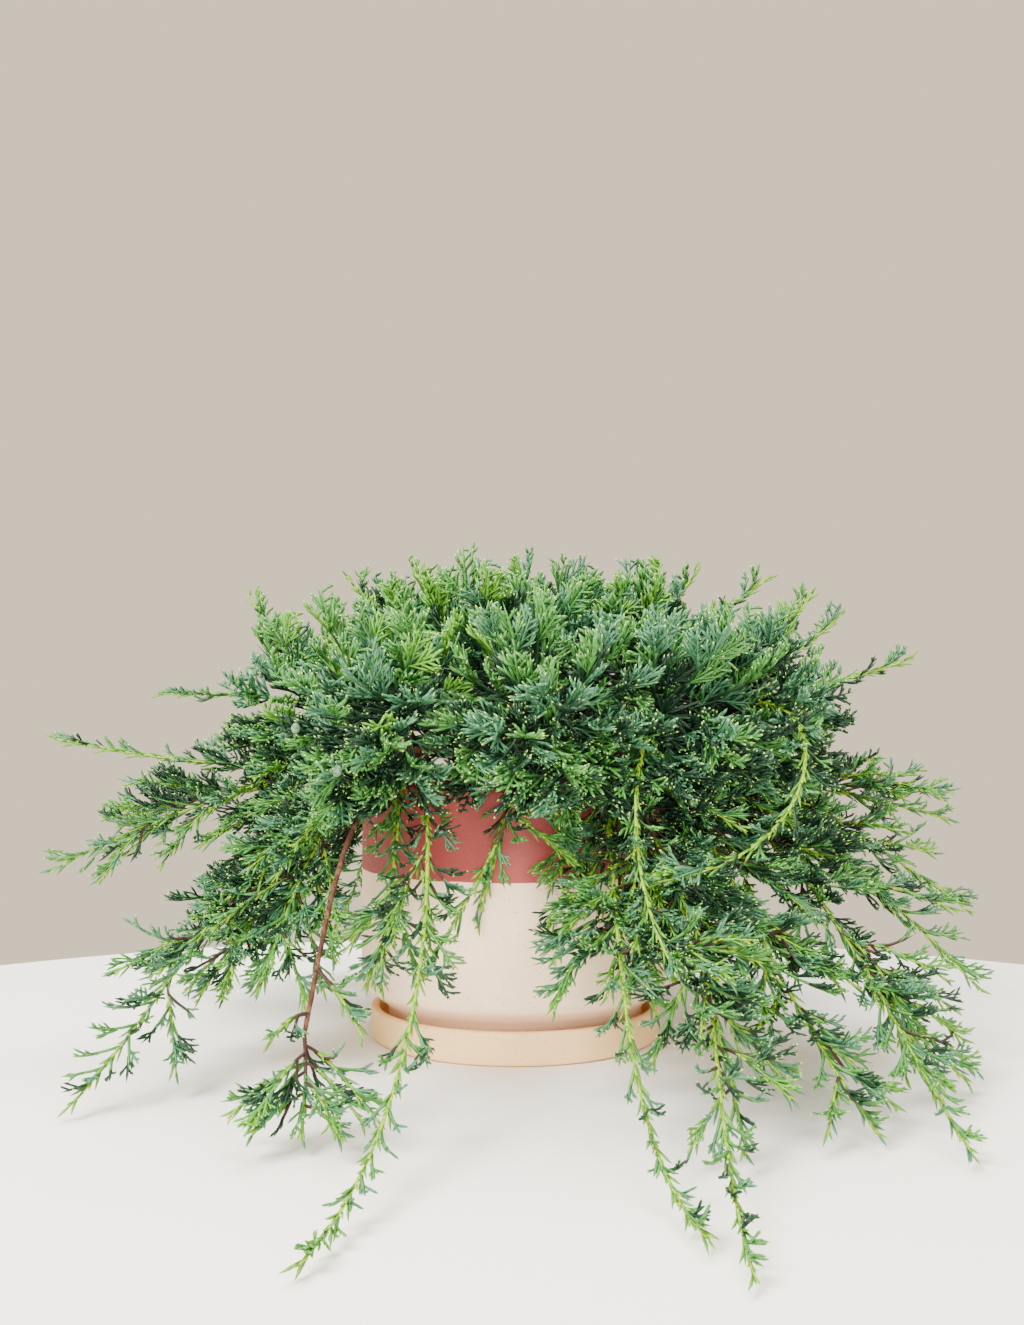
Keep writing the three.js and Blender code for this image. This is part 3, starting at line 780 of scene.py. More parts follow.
@dataclass
class Planter:
    """The dipped pot on its saucer.

    Attributes:
        radius: Outer radius of the pot's wall.
        rim: Height of its rim.
        crease: Height at which the wall turns in to the foot.
        inner_crease: The same inside.
        foot_radius: Radius of the foot.
        foot_top: Height of the foot's straight part.
        inner_foot_top: The same inside.
        foot: Height of the pot's underside.
        wall: Thickness of both walls.
        base: Thickness of the pot's floor and the saucer's.
        saucer_radius: Outer radius of the saucer.
        saucer_height: Height of its rim.
        heel: How far in and up the saucer's lower edge is cut.
        heel_round: Rounding of the two corners of that cut.
        foot_round: Rounding of the foot's edge.
        bend_round: Rounding of the pot's bends.
        rim_round: Rounding of both rims.
        saucer_round: Rounding inside the saucer.
        sides: Steps round both.
    """

    radius: float = 102
    rim: float = 167
    crease: float = 35
    inner_crease: float = 41
    foot_radius: float = 84
    foot_top: float = 22
    inner_foot_top: float = 27
    foot: float = 7.3
    wall: float = 6
    base: float = 7
    saucer_radius: float = 96
    saucer_height: float = 21
    heel: Pair = (2, 3)
    heel_round: Pair = (5, 6)
    foot_round: float = 2
    bend_round: float = 5
    rim_round: float = 3
    saucer_round: float = 4
    sides: int = 160

    def pot(self) -> Surface:
        """The pot, turned.

        Returns:
            Its surface, from the middle of the underside up the outer wall, over the rim and down inside.
        """
        inner, inner_foot = self.radius - self.wall, self.foot_radius - self.wall
        floor = self.foot + self.base
        bend, rim = self.bend_round, self.rim_round
        return turned(rounded([
            (0, self.foot, 0), (self.foot_radius, self.foot, self.foot_round),
            (self.foot_radius, self.foot_top, bend), (self.radius, self.crease, bend),
            (self.radius, self.rim, rim), (inner, self.rim, rim), (inner, self.inner_crease, bend),
            (inner_foot, self.inner_foot_top, bend), (inner_foot, floor, bend), (0, floor, 0),
        ]), self.sides)

    def saucer(self) -> Surface:
        """The saucer, turned.

        Returns:
            Its surface, from the middle of the underside round the outer wall and down inside.
        """
        outer, inner, top = self.saucer_radius, self.saucer_radius - self.wall, self.saucer_height
        low, high = self.heel_round
        return turned(rounded([
            (0, 0, 0), (outer - self.heel[0], 0, low), (outer, self.heel[1], high),
            (outer, top, self.rim_round), (inner, top, self.rim_round),
            (inner, self.base, self.saucer_round), (0, self.base, 0),
        ]), self.sides)

    def build(self) -> None:
        """Makes both pieces and closes their poles."""
        dipped, plain = DippedClay().make("dipped clay"), PlainClay().make("biscuit clay")
        merge(add_piece("dipped_pot", self.pot(), dipped, ["pot"]))
        merge(add_piece("clay_saucer", self.saucer(), plain, ["saucer"]))


@dataclass
class Potting:
    """The potting mix.

    Attributes:
        radius: Its radius at the pot's wall.
        depth: How far its edge runs down the wall.
        edge: Height of its edge.
        middle: Height of its middle.
        level: Radius of its level middle.
        lumps: Height and width of its lumps.
        crumbs: Height and width of its crumbs.
        smooth: Radius within which both are faint, and how much further out they are full.
        rings: Steps from the middle out.
        sides: Steps round it.
        bits_seed: Seed of the bits of bark on it.
        bits_count: How many there are.
        bits_within: The share of its radius that they keep to.
        bits_length: Their least length, and how much longer the longest are.
        bits_thickness: Their least thickness, and how much thicker the thickest are.
    """

    radius: float = 95.7
    depth: float = 30
    edge: float = 148
    middle: float = 150
    level: float = 40
    lumps: Pair = (1.1, 5)
    crumbs: Pair = (0.7, 1.7)
    smooth: Pair = (14, 20)
    rings: int = 70
    sides: int = 150
    bits_seed: int = 2
    bits_count: int = 520
    bits_within: float = 0.97
    bits_length: Pair = (2, 5)
    bits_thickness: Pair = (0.5, 1.1)

    def height(self, x: Array, y: Array) -> Array:
        """Height of its top.

        Args:
            x: Places to the right.
            y: Places to the rear.

        Returns:
            The height of a low mound, plus noise at two scales, which fades towards the trunk.
        """
        out = np.hypot(x, y)
        mound = blend(self.middle, self.edge, np.clip((out - self.level) / (self.radius - self.level), 0, 1))
        rough = sum(high * ripple(x / wide, y / wide, 0 * x, seed)
                    for (high, wide), seed in ((self.lumps, 3.0), (self.crumbs, 5.0)))
        return mound + rough * np.clip((out - self.smooth[0]) / self.smooth[1], 0.2, 1)

    def surface(self) -> Surface:
        """The mix, as a disc of rings.

        Returns:
            The surface, with that height, its edge run down the wall and closed below.
        """
        angle = circle(self.sides)
        r = np.linspace(0, self.radius, self.rings)[:, None]
        x, y = r * np.cos(angle), r * np.sin(angle)
        top = np.stack([x, y, self.height(x, y)], axis=-1)
        low = top[-1:].copy()
        low[..., 2] = self.edge - self.depth
        middle = low * [0, 0, 1]
        return grid(np.concatenate([top, low, middle])[::-1])

    def bits(self) -> Surface:
        """Bits of bark.

        Returns:
            Short prisms, thickest in their middle, at chance places and turns on the top.
        """
        n, seed = np.arange(self.bits_count), self.bits_seed
        r = self.radius * self.bits_within * np.sqrt(0.06 + 0.94 * chance(seed, n, 1))
        a, turn, rise = TURN * chance(seed, n, 2), TURN * chance(seed, n, 3), 0.5 * chance(seed, n, 4) - 0.1
        x, y = r * np.cos(a), r * np.sin(a)
        start = np.stack([x, y, self.height(x, y) + 0.4], axis=-1)
        along = unit(np.stack([np.cos(turn), np.sin(turn), rise], axis=-1))
        short, more = self.bits_length
        length = column(short + more * chance(seed, n, 5) ** 2)
        points = start[:, None] + along[:, None] * column(length * np.array([[-0.5, -0.25, 0.3, 0.5]]))
        thin, more = self.bits_thickness
        thick = column(thin + more * chance(seed, n, 6)) * np.array([[0.5, 1, 0.8, 0]])
        return prisms(points, thick, np.broadcast_to(UP, along.shape), 4)

    def build(self) -> None:
        """Makes the mix and the bits on it."""
        mix = PottingMix()
        merge(add_piece("potting_mix", self.surface(), mix.make("potting mix"), ["soil"]))
        bark = PottingMix((58, 38, 26), (128, 92, 64)).make("bark bits")
        add_piece("bark_bits", self.bits(), bark, smooth=False)


# Trunk and boughs


@dataclass
class Limb:
    """A trunk or bough.

    Attributes:
        curve: Its line.
        radii: Its radius at the root and at the tip.
        flare: How much wider its foot is.
        flare_share: The share of its length that the flare takes.
    """

    curve: Curve
    radii: Pair
    flare: float = 0
    flare_share: float = 1

    def radius(self, t: Array) -> Array:
        """The plain radius: a straight taper, with a flare that fades as a square."""
        return blend(*self.radii, t) + self.flare * np.maximum(0, 1 - t / self.flare_share) ** 2


@dataclass
class Wood:
    """The trunk, its boughs and the bare limb that hangs in front, set out by the part's own rule.

    Attributes:
        names: The outer boughs, in turn round the trunk.
        azimuths: Their directions, in degrees.
        inner_azimuths: Those of the inner boughs.
        foot: Where the trunk's line starts.
        fork: Where it ends.
        trunk_radii: The trunk's radius at the soil and at the fork.
        flare: How much wider its foot is.
        flare_height: Height of the flare.
        outer_starts: Heights at which outer boughs leave the trunk, in turn.
        outer_tip: Reach and height of an outer bough's tip.
        outer_arch: Rise of its handles.
        outer_radii: Its radius at the root and at the tip.
        inner_start: Height at which inner boughs leave the trunk.
        inner_tip: Reach and height of an inner bough's tip.
        inner_arch: Rise of its handles.
        inner_radii: Its radius at the root and at the tip.
        bare_tip: The bare limb's tip.
        bare_bend: Rise and sway of its handles.
        bare_radii: Its radius at the root and at the tip.
        seats: Where stems sit round a bough's tip, in degrees from its left.
        sunk: How deep in a bough's end a stem starts.
        within: How far out the limbs reach.
        margin: How far from a limb's line points are still measured.
        relief_fine: How fine the bark's relief is round a limb.
        relief_long: Length of the relief's pattern along a limb.
    """

    names: tuple[str, ...] = ("right", "rear_right", "rear", "rear_left", "left", "front_left", "front",
                              "front_right", "right_front")
    azimuths: tuple[float, ...] = (10, 48, 92, 138, 184, 232, 272, 305, 338)
    inner_azimuths: tuple[float, ...] = (20, 92, 164, 236, 308)
    foot: Triple = (0, 0, 150.3)
    fork: Triple = (4, -3, 213)
    trunk_radii: Pair = (11.5, 10)
    flare: float = 5.5
    flare_height: float = 12
    outer_starts: Triple = (169, 180, 191)
    outer_tip: Pair = (98, 190)
    outer_arch: float = 5
    outer_radii: Pair = (6.2, 5.2)
    inner_start: float = 204
    inner_tip: Pair = (50, 224)
    inner_arch: float = 4
    inner_radii: Pair = (5, 4)
    bare_tip: Triple = (-107, -226, 50)
    bare_bend: Bend = (26, 14, -28, -10)
    bare_radii: Pair = (1.7, 1.2)
    seats: tuple[float, ...] = (-20, -90, -160, 90)
    sunk: float = 0.3
    within: float = 270
    margin: float = 20
    relief_fine: float = 3
    relief_long: float = 14

    def __post_init__(self) -> None:
        """Sets out the limbs."""
        foot, fork = np.array(self.foot), np.array(self.fork)
        first, second = blend(foot, fork, 1 / 3) * [0, 0, 1], blend(foot, fork, 2 / 3)
        line = Curve(np.array([foot, first, second, fork]), np.array([1.0, 0, 0]))
        self.trunk = Limb(line, self.trunk_radii, self.flare, self.flare_height / (fork[2] - foot[2]))
        self.outer = {}
        for i, name in enumerate(self.names):
            start = self.outer_starts[i % len(self.outer_starts)]
            self.outer[name] = self._bough(self.azimuths[i], start, self.outer_tip, self.outer_arch,
                                           self.outer_radii)
        inner = (self.inner_start, self.inner_tip, self.inner_arch, self.inner_radii)
        self.inner = [self._bough(azimuth, *inner) for azimuth in self.inner_azimuths]
        root = self.seat("front_left", 1, 2)
        self.bare = Limb(Curve.bent(root, self.bare_tip, self.bare_bend), self.bare_radii)

    def _bough(self, azimuth: float, start: float, tip: Pair, arch: float, radii: Pair) -> Limb:
        """A bough from the trunk's line.

        Args:
            azimuth: Its direction, in degrees.
            start: Height at which it leaves the trunk.
            tip: Reach and height of its tip.
            arch: Rise of both of its handles.
            radii: Its radius at the root and at the tip.

        Returns:
            The bough.
        """
        root = self.trunk.curve.at((start - self.foot[2]) / (self.fork[2] - self.foot[2]))
        a, (reach, height) = math.radians(azimuth), tip
        end = (reach * math.cos(a), reach * math.sin(a), height)
        return Limb(Curve.bent(root, end, (arch, arch, 0, 0)), radii)

    def seat(self, name: str, seat: int, radius: float) -> Array:
        """The root of a stem on an outer bough's tip.

        Args:
            name: The bough.
            seat: Which of the seats.
            radius: The stem's radius.

        Returns:
            A point just inside the bough's end, on a ring at the seat's angle.
        """
        bough = self.outer[name]
        along = bough.curve.ahead(1.0)
        side = square(np.cross(UP, along), along)
        upward = np.cross(along, side)
        angle = math.radians(self.seats[seat])
        ring = (bough.radii[1] - radius) * (math.cos(angle) * side + math.sin(angle) * upward)
        return bough.curve.handles[3] - self.sunk * along + ring

    @property
    def limbs(self) -> list[Limb]:
        """All limbs."""
        return [self.trunk, *self.outer.values(), *self.inner, self.bare]

    def clear(self, points: Array, gap: float) -> Array:
        """Which points keep clear of every limb.

        Args:
            points: The points, in rows.
            gap: How far from the bark they have to be.

        Returns:
            True for each point that does.
        """
        kept = np.ones(len(points), bool)
        near = np.flatnonzero(np.hypot(points[:, 0], points[:, 1]) < self.within)
        t = np.linspace(0, 1, 25)
        for limb in self.limbs:
            line, radius = limb.curve.at(t), limb.radius(t)
            low, high = line.min(0) - self.margin, line.max(0) + self.margin
            close = near[np.all((points[near] > low) & (points[near] < high), axis=1)]
            apart = np.linalg.norm(points[close, None] - line[None], axis=2) - radius
            kept[close[apart.min(1) < gap]] = False
        return kept

    def bark(self, limb: Limb, rings: int, sides: int, relief: float, seed: float) -> Surface:
        """A limb with bark: its radius times 1 + relief * (long ridges + short flakes), closed at both ends.

        Args:
            limb: The limb.
            rings: Steps along it.
            sides: Steps round it.
            relief: Height of the ridges, as a share of the radius.
            seed: Moves the pattern.

        Returns:
            The surface.
        """
        length = limb.curve.length

        def radius(t: Array, angle: Array) -> Array:
            """The radius with its relief.

            Args:
                t: Shares of the way.
                angle: Angles round the limb.

            Returns:
                The radii.
            """
            plain = limb.radius(t) + 0 * angle
            x, y = (wave * self.relief_fine + 0 * t for wave in (np.cos(angle), np.sin(angle)))
            z = t * length / self.relief_long + 0 * angle
            ridges = 1 - np.abs(ripple(x, y, z, seed)) * 3
            flakes = ripple(x * 3, y * 3, z * 4, seed + 1)
            swell = ripple(x / 3, y / 3, z / 2, seed + 2)
            return plain * (1 + relief * (0.5 * ridges + 0.45 * flakes) + 0.05 * swell)

        return tube(limb.curve, radius, rings, sides)

    def build(self) -> None:
        """Makes the trunk, the boughs and the bare limb."""
        bark = Bark().make("peeling bark")
        trunk = self.bark(self.trunk, rings=90, sides=72, relief=0.1, seed=1)
        merge(add_piece("trunk_bark", trunk, bark, ["trunk"]))
        boughs = [self.bark(limb, rings=60, sides=22, relief=0.1, seed=2.0 + n)
                  for n, limb in enumerate([*self.outer.values(), *self.inner])]
        names = [f"bough_{name}" for name in self.names]
        names += [f"bough_inner_{n + 1}" for n in range(len(self.inner))]
        merge(add_piece("bough_bark", Surface.joined(boughs), bark, names))
        dark = Bark(base=(72, 42, 32), pale=(108, 70, 52), dark=(38, 24, 20)).make("dark bark")
        bare = self.bark(self.bare, rings=170, sides=14, relief=0.2, seed=20)
        merge(add_piece("bare_limb_bark", bare, dark, ["bough_bare"]))


# Foliage


@dataclass(frozen=True)
class Plan:
    """How one shoot, fork or leader grows.

    Attributes:
        tip: Its tip.
        bend: Rise and sway of its curve's handles.
        spread: Length of its longest sprays.
        name: The node that it stands for, if it has its own.
        bough: The outer bough that it grows on.
        seat: Where on the bough's tip it sits.
        at: For a fork, where on its shoot it starts.
        bare: Its bare length at the root.
        density: The share of its places that bear a spray.
        brown: The share of its length that is woody.
        forks: Its forks.
        collar: How many finer twigs hang from its root.
    """

    tip: Triple
    bend: Bend
    spread: float
    name: str = ""
    bough: str = ""
    seat: int = 0
    at: float = 0
    bare: float = 34
    density: float = 1
    brown: float = 0.3
    forks: tuple["Plan", ...] = ()
    collar: int = 0


def fork(at: float, tip: Triple, bend: Bend, spread: float, density: float = 1) -> Plan:
    """A fork's plan."""
    return Plan(tip, bend, spread, at=at, bare=12, density=density, brown=0.1)


SHOOT_SEED, REAR_SEED, FOOT_SEED, TWIG_SEED = 41, 61, 71, 81

FRONT_SHOOTS = (
    Plan((-307, -20, 197), (-22, -12, 6, 4), 35, "shoot_left_high", "left", 2, density=0.8, brown=0.15),
    Plan((-294, -62, 112), (4, 16, 14, 8), 59, "shoot_left_side", "left", 1,
         forks=(fork(0.45, (-262, -20, 136), (6, 6, 0, 0), 46),)),
    Plan((-234, -206, 6), (22, -18, -18, -10), 59, "shoot_left_low", "left", 0),
    Plan((-190, -104, 40), (20, 26, 0, 0), 65, "shoot_left_drape", "front_left", 2,
         forks=(fork(0.4, (-146, -142, 52), (10, 12, 0, 0), 57),), collar=4),
    Plan((-82, -412, 6), (-25, -58, 28, 24), 46, "shoot_front_long", "front_left", 0, density=0.62, brown=0.1,
         forks=(fork(0.2, (-82, -178, 62), (8, 8, 0, 0), 42),)),
    Plan((-54, -190, 64), (8, 6, 24, 10), 49, "shoot_front", "front", 1, density=0.7, brown=0.45,
         forks=(fork(0.3, (34, -152, 126), (4, 4, 0, 0), 38, 0.7),), collar=4),
    Plan((77, -387, 6), (-28, -58, -4, -22), 45, "shoot_front_right", "front_right", 2, density=0.62,
         brown=0.1,
         forks=(fork(0.4, (128, -218, 84), (10, 8, 0, 0), 38),
                fork(0.28, (20, -194, 52), (6, 8, 0, 0), 46, 0.7)), collar=9),
    Plan((106, -296, 8), (14, -10, 12, 16), 62, "shoot_front_right_drape", "front_right", 0,
         forks=(fork(0.66, (88, -423, 6), (-12, -12, 0, -4), 35, 0.7),
                fork(0.26, (48, -204, 62), (6, 6, 0, 0), 54)), collar=6),
    Plan((178, -258, 7), (22, -22, -4, 0), 65, "shoot_right_drape", "right_front", 2, collar=4),
    Plan((214, -286, 6), (14, -30, 62, 34), 54, "shoot_right_low", "right_front", 1,
         forks=(fork(0.5, (251, -166, 8), (10, -6, 0, 0), 46),)),
    Plan((279, -104, 46), (24, 22, 14, 10), 59, "shoot_right_side", "right_front", 0),
    Plan((294, -40, 84), (6, 20, 4, 0), 57, "shoot_right_tail", "right", 2),
    Plan((304, 24, 138), (-8, 6, 0, 0), 51, "shoot_right_high", "right", 0, brown=0.2,
         forks=(fork(0.5, (292, -14, 160), (4, 4, 0, 0), 38),)),
)

FOOT_SHOOT = Plan((-103, -264, 8), (2, 0, 2, 2), 44, "shoot_left_foot", bare=4, brown=0.5,
                  forks=(fork(0.3, (-140, -256, 16), (6, 4, 0, 0), 34, 0.99),))

LIMB_TWIGS = (
    Plan((-76, -236, 50), (3, 6, 0, 0), 32, at=0.84, bare=8, density=0.95, brown=0.35),
    Plan((-124, -244, 46), (6, 6, 0, 0), 34, at=0.95, bare=5, density=0.95, brown=0.3),
)

LEADERS = {
    "tuft_right": (Plan((276, 20, 252), (6, -6, 0, 0), 32), Plan((238, 62, 287), (4, -6, 0, 0), 30),
                   Plan((200, -14, 296), (4, -6, 0, 0), 28)),
    "tuft_left": (Plan((-243, 6, 226), (10, 4, 0, 0), 32), Plan((-186, 26, 297), (0, -8, 0, 0), 30)),
    "tuft_right_front": (Plan((70, -190, 122), (64, -20, 78, 105), 32),),
    "tuft_front_right": (Plan((88, -230, 72), (50, 8, -16, -40), 30),),
    "tuft_inner_1": (Plan((130, 34, 318), (0, -6, 0, 0), 30), Plan((182, 44, 311), (4, -6, 0, 0), 28)),
    "tuft_inner_3": (Plan((-118, 22, 310), (0, -6, 0, 0), 30),),
    "tuft_rear_right": (Plan((176, 182, 262), (8, 0, 0, 0), 32),),
    "tuft_rear_left": (Plan((-196, 160, 256), (8, 0, 0, 0), 32),),
}


@dataclass(frozen=True)
class RearKind:
    """A kind of rear shoot.

    Attributes:
        reach: How far out its tip is.
        height: Height of its tip.
        spread: Length of its longest sprays.
        bend: Rise and sway of its handles.
    """

    reach: float
    height: float
    spread: float
    bend: Bend


REAR_KINDS = (RearKind(292, 84, 56, (6, 14, 0, 0)), RearKind(322, 7, 56, (20, -26, 0, 0)),
              RearKind(262, 38, 62, (26, 14, 0, 0)))
REAR_BOUGHS = ("rear_right", "rear", "rear_left")
REAR_TURNS = (-15, 0, 15)


@dataclass(frozen=True)
class Stem:
    """A shoot, fork, leader or twig in its place.

    Attributes:
        curve: Its line.
        plan: How it grows.
        seed: Its seed.
        radii: Its radius at the root and at the tip.
    """

    curve: Curve
    plan: Plan
    seed: float
    radii: Pair = (1.3, 0.75)

    @property
    def mound(self) -> bool:
        """Whether it is a leader of the mound's, whose seeds are below the shoots'."""
        return self.seed < SHOOT_SEED

    @property
    def dense(self) -> bool:
        """Whether every place on it bears a spray."""
        return self.plan.density == 1

    @property
    def sparse(self) -> bool:
        """Whether it has clear gaps between its sprays."""
        return self.plan.density < 0.9

    def sides(self, ahead: Array) -> Array:
        """Directions to its left, square to its own directions of travel."""
        return square(np.broadcast_to(self.curve.side, ahead.shape), ahead)


@dataclass(frozen=True)
class TuftKind:
    """A kind of tuft.

    Attributes:
        seed: Seed of the first one.
        reach: How far out its middle is.
        height: Height of its middle.
        core: The core's half sizes outward, sideways and up.
        sprays: How many sprays it bears.
        lowest: Sine of the lowest slope at which they stand.
        around: The angle that they take up, round from outward.
        skirt: How many more hang from its lower side.
        mantle: How many more lie on its core.
        exact: How many of the first are the part's own, and stand exactly by its rule.
    """

    seed: int
    reach: float
    height: float
    core: Triple
    sprays: int
    lowest: float
    around: float
    skirt: int
    mantle: int
    exact: int


class Ring(Enum):
    """Where in the mound a tuft sits: at the rim, inside it, or on the trunk's tip."""

    OUTER = TuftKind(seed=1, reach=132, height=213, core=(36, 34, 28), sprays=26, lowest=-0.85, around=4,
                     skirt=15, mantle=23, exact=10)
    INNER = TuftKind(seed=21, reach=68, height=240, core=(30, 34, 26), sprays=24, lowest=-0.1, around=5,
                     skirt=0, mantle=15, exact=6)
    TOP = TuftKind(seed=31, reach=6, height=248, core=(25, 25, 22), sprays=22, lowest=0.05, around=TURN,
                   skirt=0, mantle=8, exact=6)


@dataclass(frozen=True)
class Tuft:
    """A tuft of the mound.

    Attributes:
        name: The node that it stands for.
        kind: Its kind.
        seed: Its seed.
        root: The start of its stem.
        centre: The middle of its core.
    """

    name: str
    kind: TuftKind
    seed: float
    root: Array
    centre: Array


class Rows:
    """Dataclasses whose fields are arrays with a row for each member."""

    @classmethod
    def joined(cls, groups: Sequence[Any]) -> Any:
        """Several groups as one."""
        names = cls.__dataclass_fields__
        return cls(*(np.concatenate([getattr(group, name) for group in groups]) for name in names))

    def kept(self, mask: Array) -> Any:
        """The members that a mask keeps."""
        return type(self)(*(getattr(self, name)[mask] for name in self.__dataclass_fields__))


@dataclass
class Sprays(Rows):
    """Many sprays at once.

    Attributes:
        root: Their roots.
        along: Their directions.
        across: The directions that their fans spread in.
        length: Their lengths.
        fan: The angles between their outermost fingers.
        seed: Their seeds.
        number: Their numbers in their mass.
        light: How fresh each is, from about -0.5 deep inside to 1 at the outside; on tufts, painted light and
            shade.
        mound: Whether each is the mound's.
    """

    root: Array
    along: Array
    across: Array
    length: Array
    fan: Array
    seed: Array
    number: Array
    light: Array
    mound: Array


@dataclass
class Twigs(Rows):
    """Many twigs or branchlets of one kind at once.

    Attributes:
        points: Their lines.
        radii: Their radii.
        face: A direction for each that isn't along it.
        tone: The number of each one's tone.
        mound: Whether each is the mound's.
    """

    points: Array
    radii: Array
    face: Array
    tone: Array
    mound: Array

    def tips(self, share: float, picked: Array) -> "Twigs":
        """Pale tips over the ends of some of the twigs, a little longer and thicker than what they cover.

        Args:
            share: The share of a twig's last stretch that a tip covers.
            picked: Which twigs have one.

        Returns:
            The tips, each a cone from that point on to the twig's end.
        """
        chosen = self.kept(picked)
        last, end = chosen.points[:, -2], chosen.points[:, -1]
        line = np.stack([blend(end, last, share), end + 0.04 * (end - last)], axis=1)
        radii = np.stack([chosen.radii[:, -2] * share * 1.12 + 0.12, np.zeros(len(line))], axis=1)
        return Twigs(line, radii, chosen.face, np.full(len(line), Tone.TIP.number), chosen.mound)


@dataclass
class Plume:
    """How a small spray is made up: an axis, fingers to both sides of it, and branchlets on the fingers.

    Attributes:
        curl: Rise of the axis's tip, as a share of its length.
        bow: Most sideways slope of the axis at its root.
        taper: How much shorter the outermost fingers reach.
        pitch: Step between fingers, on the mound and on the shoots.
        slots: Most fingers of a spray.
        within: The share of the axis that bears fingers.
        narrowing: How much narrower the last fingers turn than the first.
        longest: Longest finger, as a share of the spray's length.
        least: Length of the shortest fingers.
        step: Step between branchlets.
        branchlets: Most branchlets of a finger.
        short: Length of the shortest branchlets.
        angle: Angle between a branchlet and its finger.
        axis_radii: Radius of the axis at the root and at the tip.
        radii: Radius of a finger, on the mound and on the shoots.
        knee: Where a finger bends, as a share of its length.
        pale: The share of fingers and branchlets with a pale tip.
        pale_shares: The share of a finger's and of a branchlet's last stretch that a pale tip covers.
        fresher: How much a spray's light counts in its tone.
        deals: Upper limits of the deals that give a deep, blue and mid tone.
    """

    curl: float = 0.14
    bow: float = 0.1
    taper: float = 0.24
    pitch: Pair = (3.1, 2.8)
    slots: int = 10
    within: float = 0.9
    narrowing: float = 0.78
    longest: float = 0.54
    least: float = 3.5
    step: float = 4.9
    branchlets: int = 2
    short: float = 3.8
    angle: float = 0.36
    axis_radii: Pair = (1.05, 0.7)
    radii: Pair = (1.0, 0.74)
    knee: float = 0.68
    pale: float = 0.4
    pale_shares: Pair = (0.4, 0.6)
    fresher: float = 0.5
    deals: Triple = (0.19, 0.49, 0.9)

    def grow(self, sprays: Sprays) -> list[Twigs]:
        """Grows the twigs of many sprays.

        Seen flat, the axis runs along u and bows to v by bow * u * (1 - u / length), and it rises by
        curl * u^2 / length. Finger j leaves it at about u = pitch * (j + 0.7), to alternate sides, towards
        the outline r = length * (1 - taper * turn^2), at a turn that is narrower the further out it starts.
        Branchlet m leaves its finger at about step * (m + 0.6), to alternate sides. Chance shifts each.

        Args:
            sprays: The sprays.

        Returns:
            The axes, the fingers, the branchlets and their pale tips.
        """
        face = np.cross(sprays.along, sprays.across)
        near = (sprays.seed * 17.3 + sprays.number)[:, None]
        size = sprays.length[:, None]
        bow = 2 * self.bow * (chance(near, 0, 7) - 0.5)

        def place(u: Array, v: Array, w: Array) -> Array:
            """Points measured from the sprays' roots.

            Args:
                u: Distances along the sprays.
                v: Distances across them.
                w: Distances out of their faces.

            Returns:
                root + u * along + v * across + w * out.
            """
            shape = (len(face),) + (1,) * (u.ndim - 1) + (3,)
            root, along, across, out = (
                part.reshape(shape) for part in (sprays.root, sprays.along, sprays.across, face))
            return root + along * column(u) + across * column(v) + out * column(w)

        def sway(u: Array) -> Array:
            """How far the axis is to one side."""
            return bow * u * (1 - u / size)

        def rise(u: Array) -> Array:
            """How far the axis has risen."""
            return self.curl * u**2 / size

        tone = self._tones(sprays)
        s = size * np.linspace(0, 1, 4)
        radii = np.linspace(*self.axis_radii, 4) + 0 * s
        axes = Twigs(place(s, sway(s), rise(s)), radii, face, tone, sprays.mound)

        j = np.arange(self.slots)[None]
        pitch = np.where(sprays.mound, *self.pitch)[:, None]
        start = pitch * (j + 0.7 + 0.5 * (chance(near, j, 8) - 0.5))
        fits = start < self.within * size
        start = np.minimum(start, self.within * size)
        way = sign(j)
        half = sprays.fan[:, None] / 2
        turn = way * half * (1 - self.narrowing * start / size) * varied(0.2, near, j, 9)
        reach = size * (1 - self.taper * (turn / half) ** 2) * (0.82 + 0.18 * chance(near, j, 10))
        step = np.stack([reach * np.cos(turn) - start, reach * np.sin(turn) - sway(start),
                         rise(reach) - rise(start) + size * 0.24 * (chance(near, j, 11) - 0.4)])
        wanted = np.linalg.norm(step, axis=0)
        long = np.minimum(self.longest * size, wanted)
        t = np.array([0, self.knee, 1.0])
        gone = column(long / wanted) * t
        bulge = column(long) * 0.3 * np.sin(np.pi * t / 2) * (1 - t)
        fingers = place(column(start) + column(step[0]) * gone - 0.3 * bulge,
                        column(sway(start)) + column(step[1]) * gone + column(way) * bulge,
                        column(rise(start)) + column(step[2]) * gone + column(long) * 0.12 * t**2)
        keep = fits & (long > self.least)
        radii = self._thickness(sprays.mound, (0.9, 1.0, 0), fingers)
        common = (np.broadcast_to(part[:, None], keep.shape + part.shape[1:])[keep]
                  for part in (face, tone, sprays.mound))
        grown = Twigs(fingers[keep], radii[keep], *common)

        number = (near + 0.37 * j)[keep]
        branchlets = self._branchlets(grown, long[keep], number)
        tips = [group.tips(share, chance(group.points[:, 0, 0], group.points[:, 0, 2], 1) < self.pale)
                for group, share in zip((grown, branchlets), self.pale_shares)]
        return [axes, grown, branchlets, *tips]

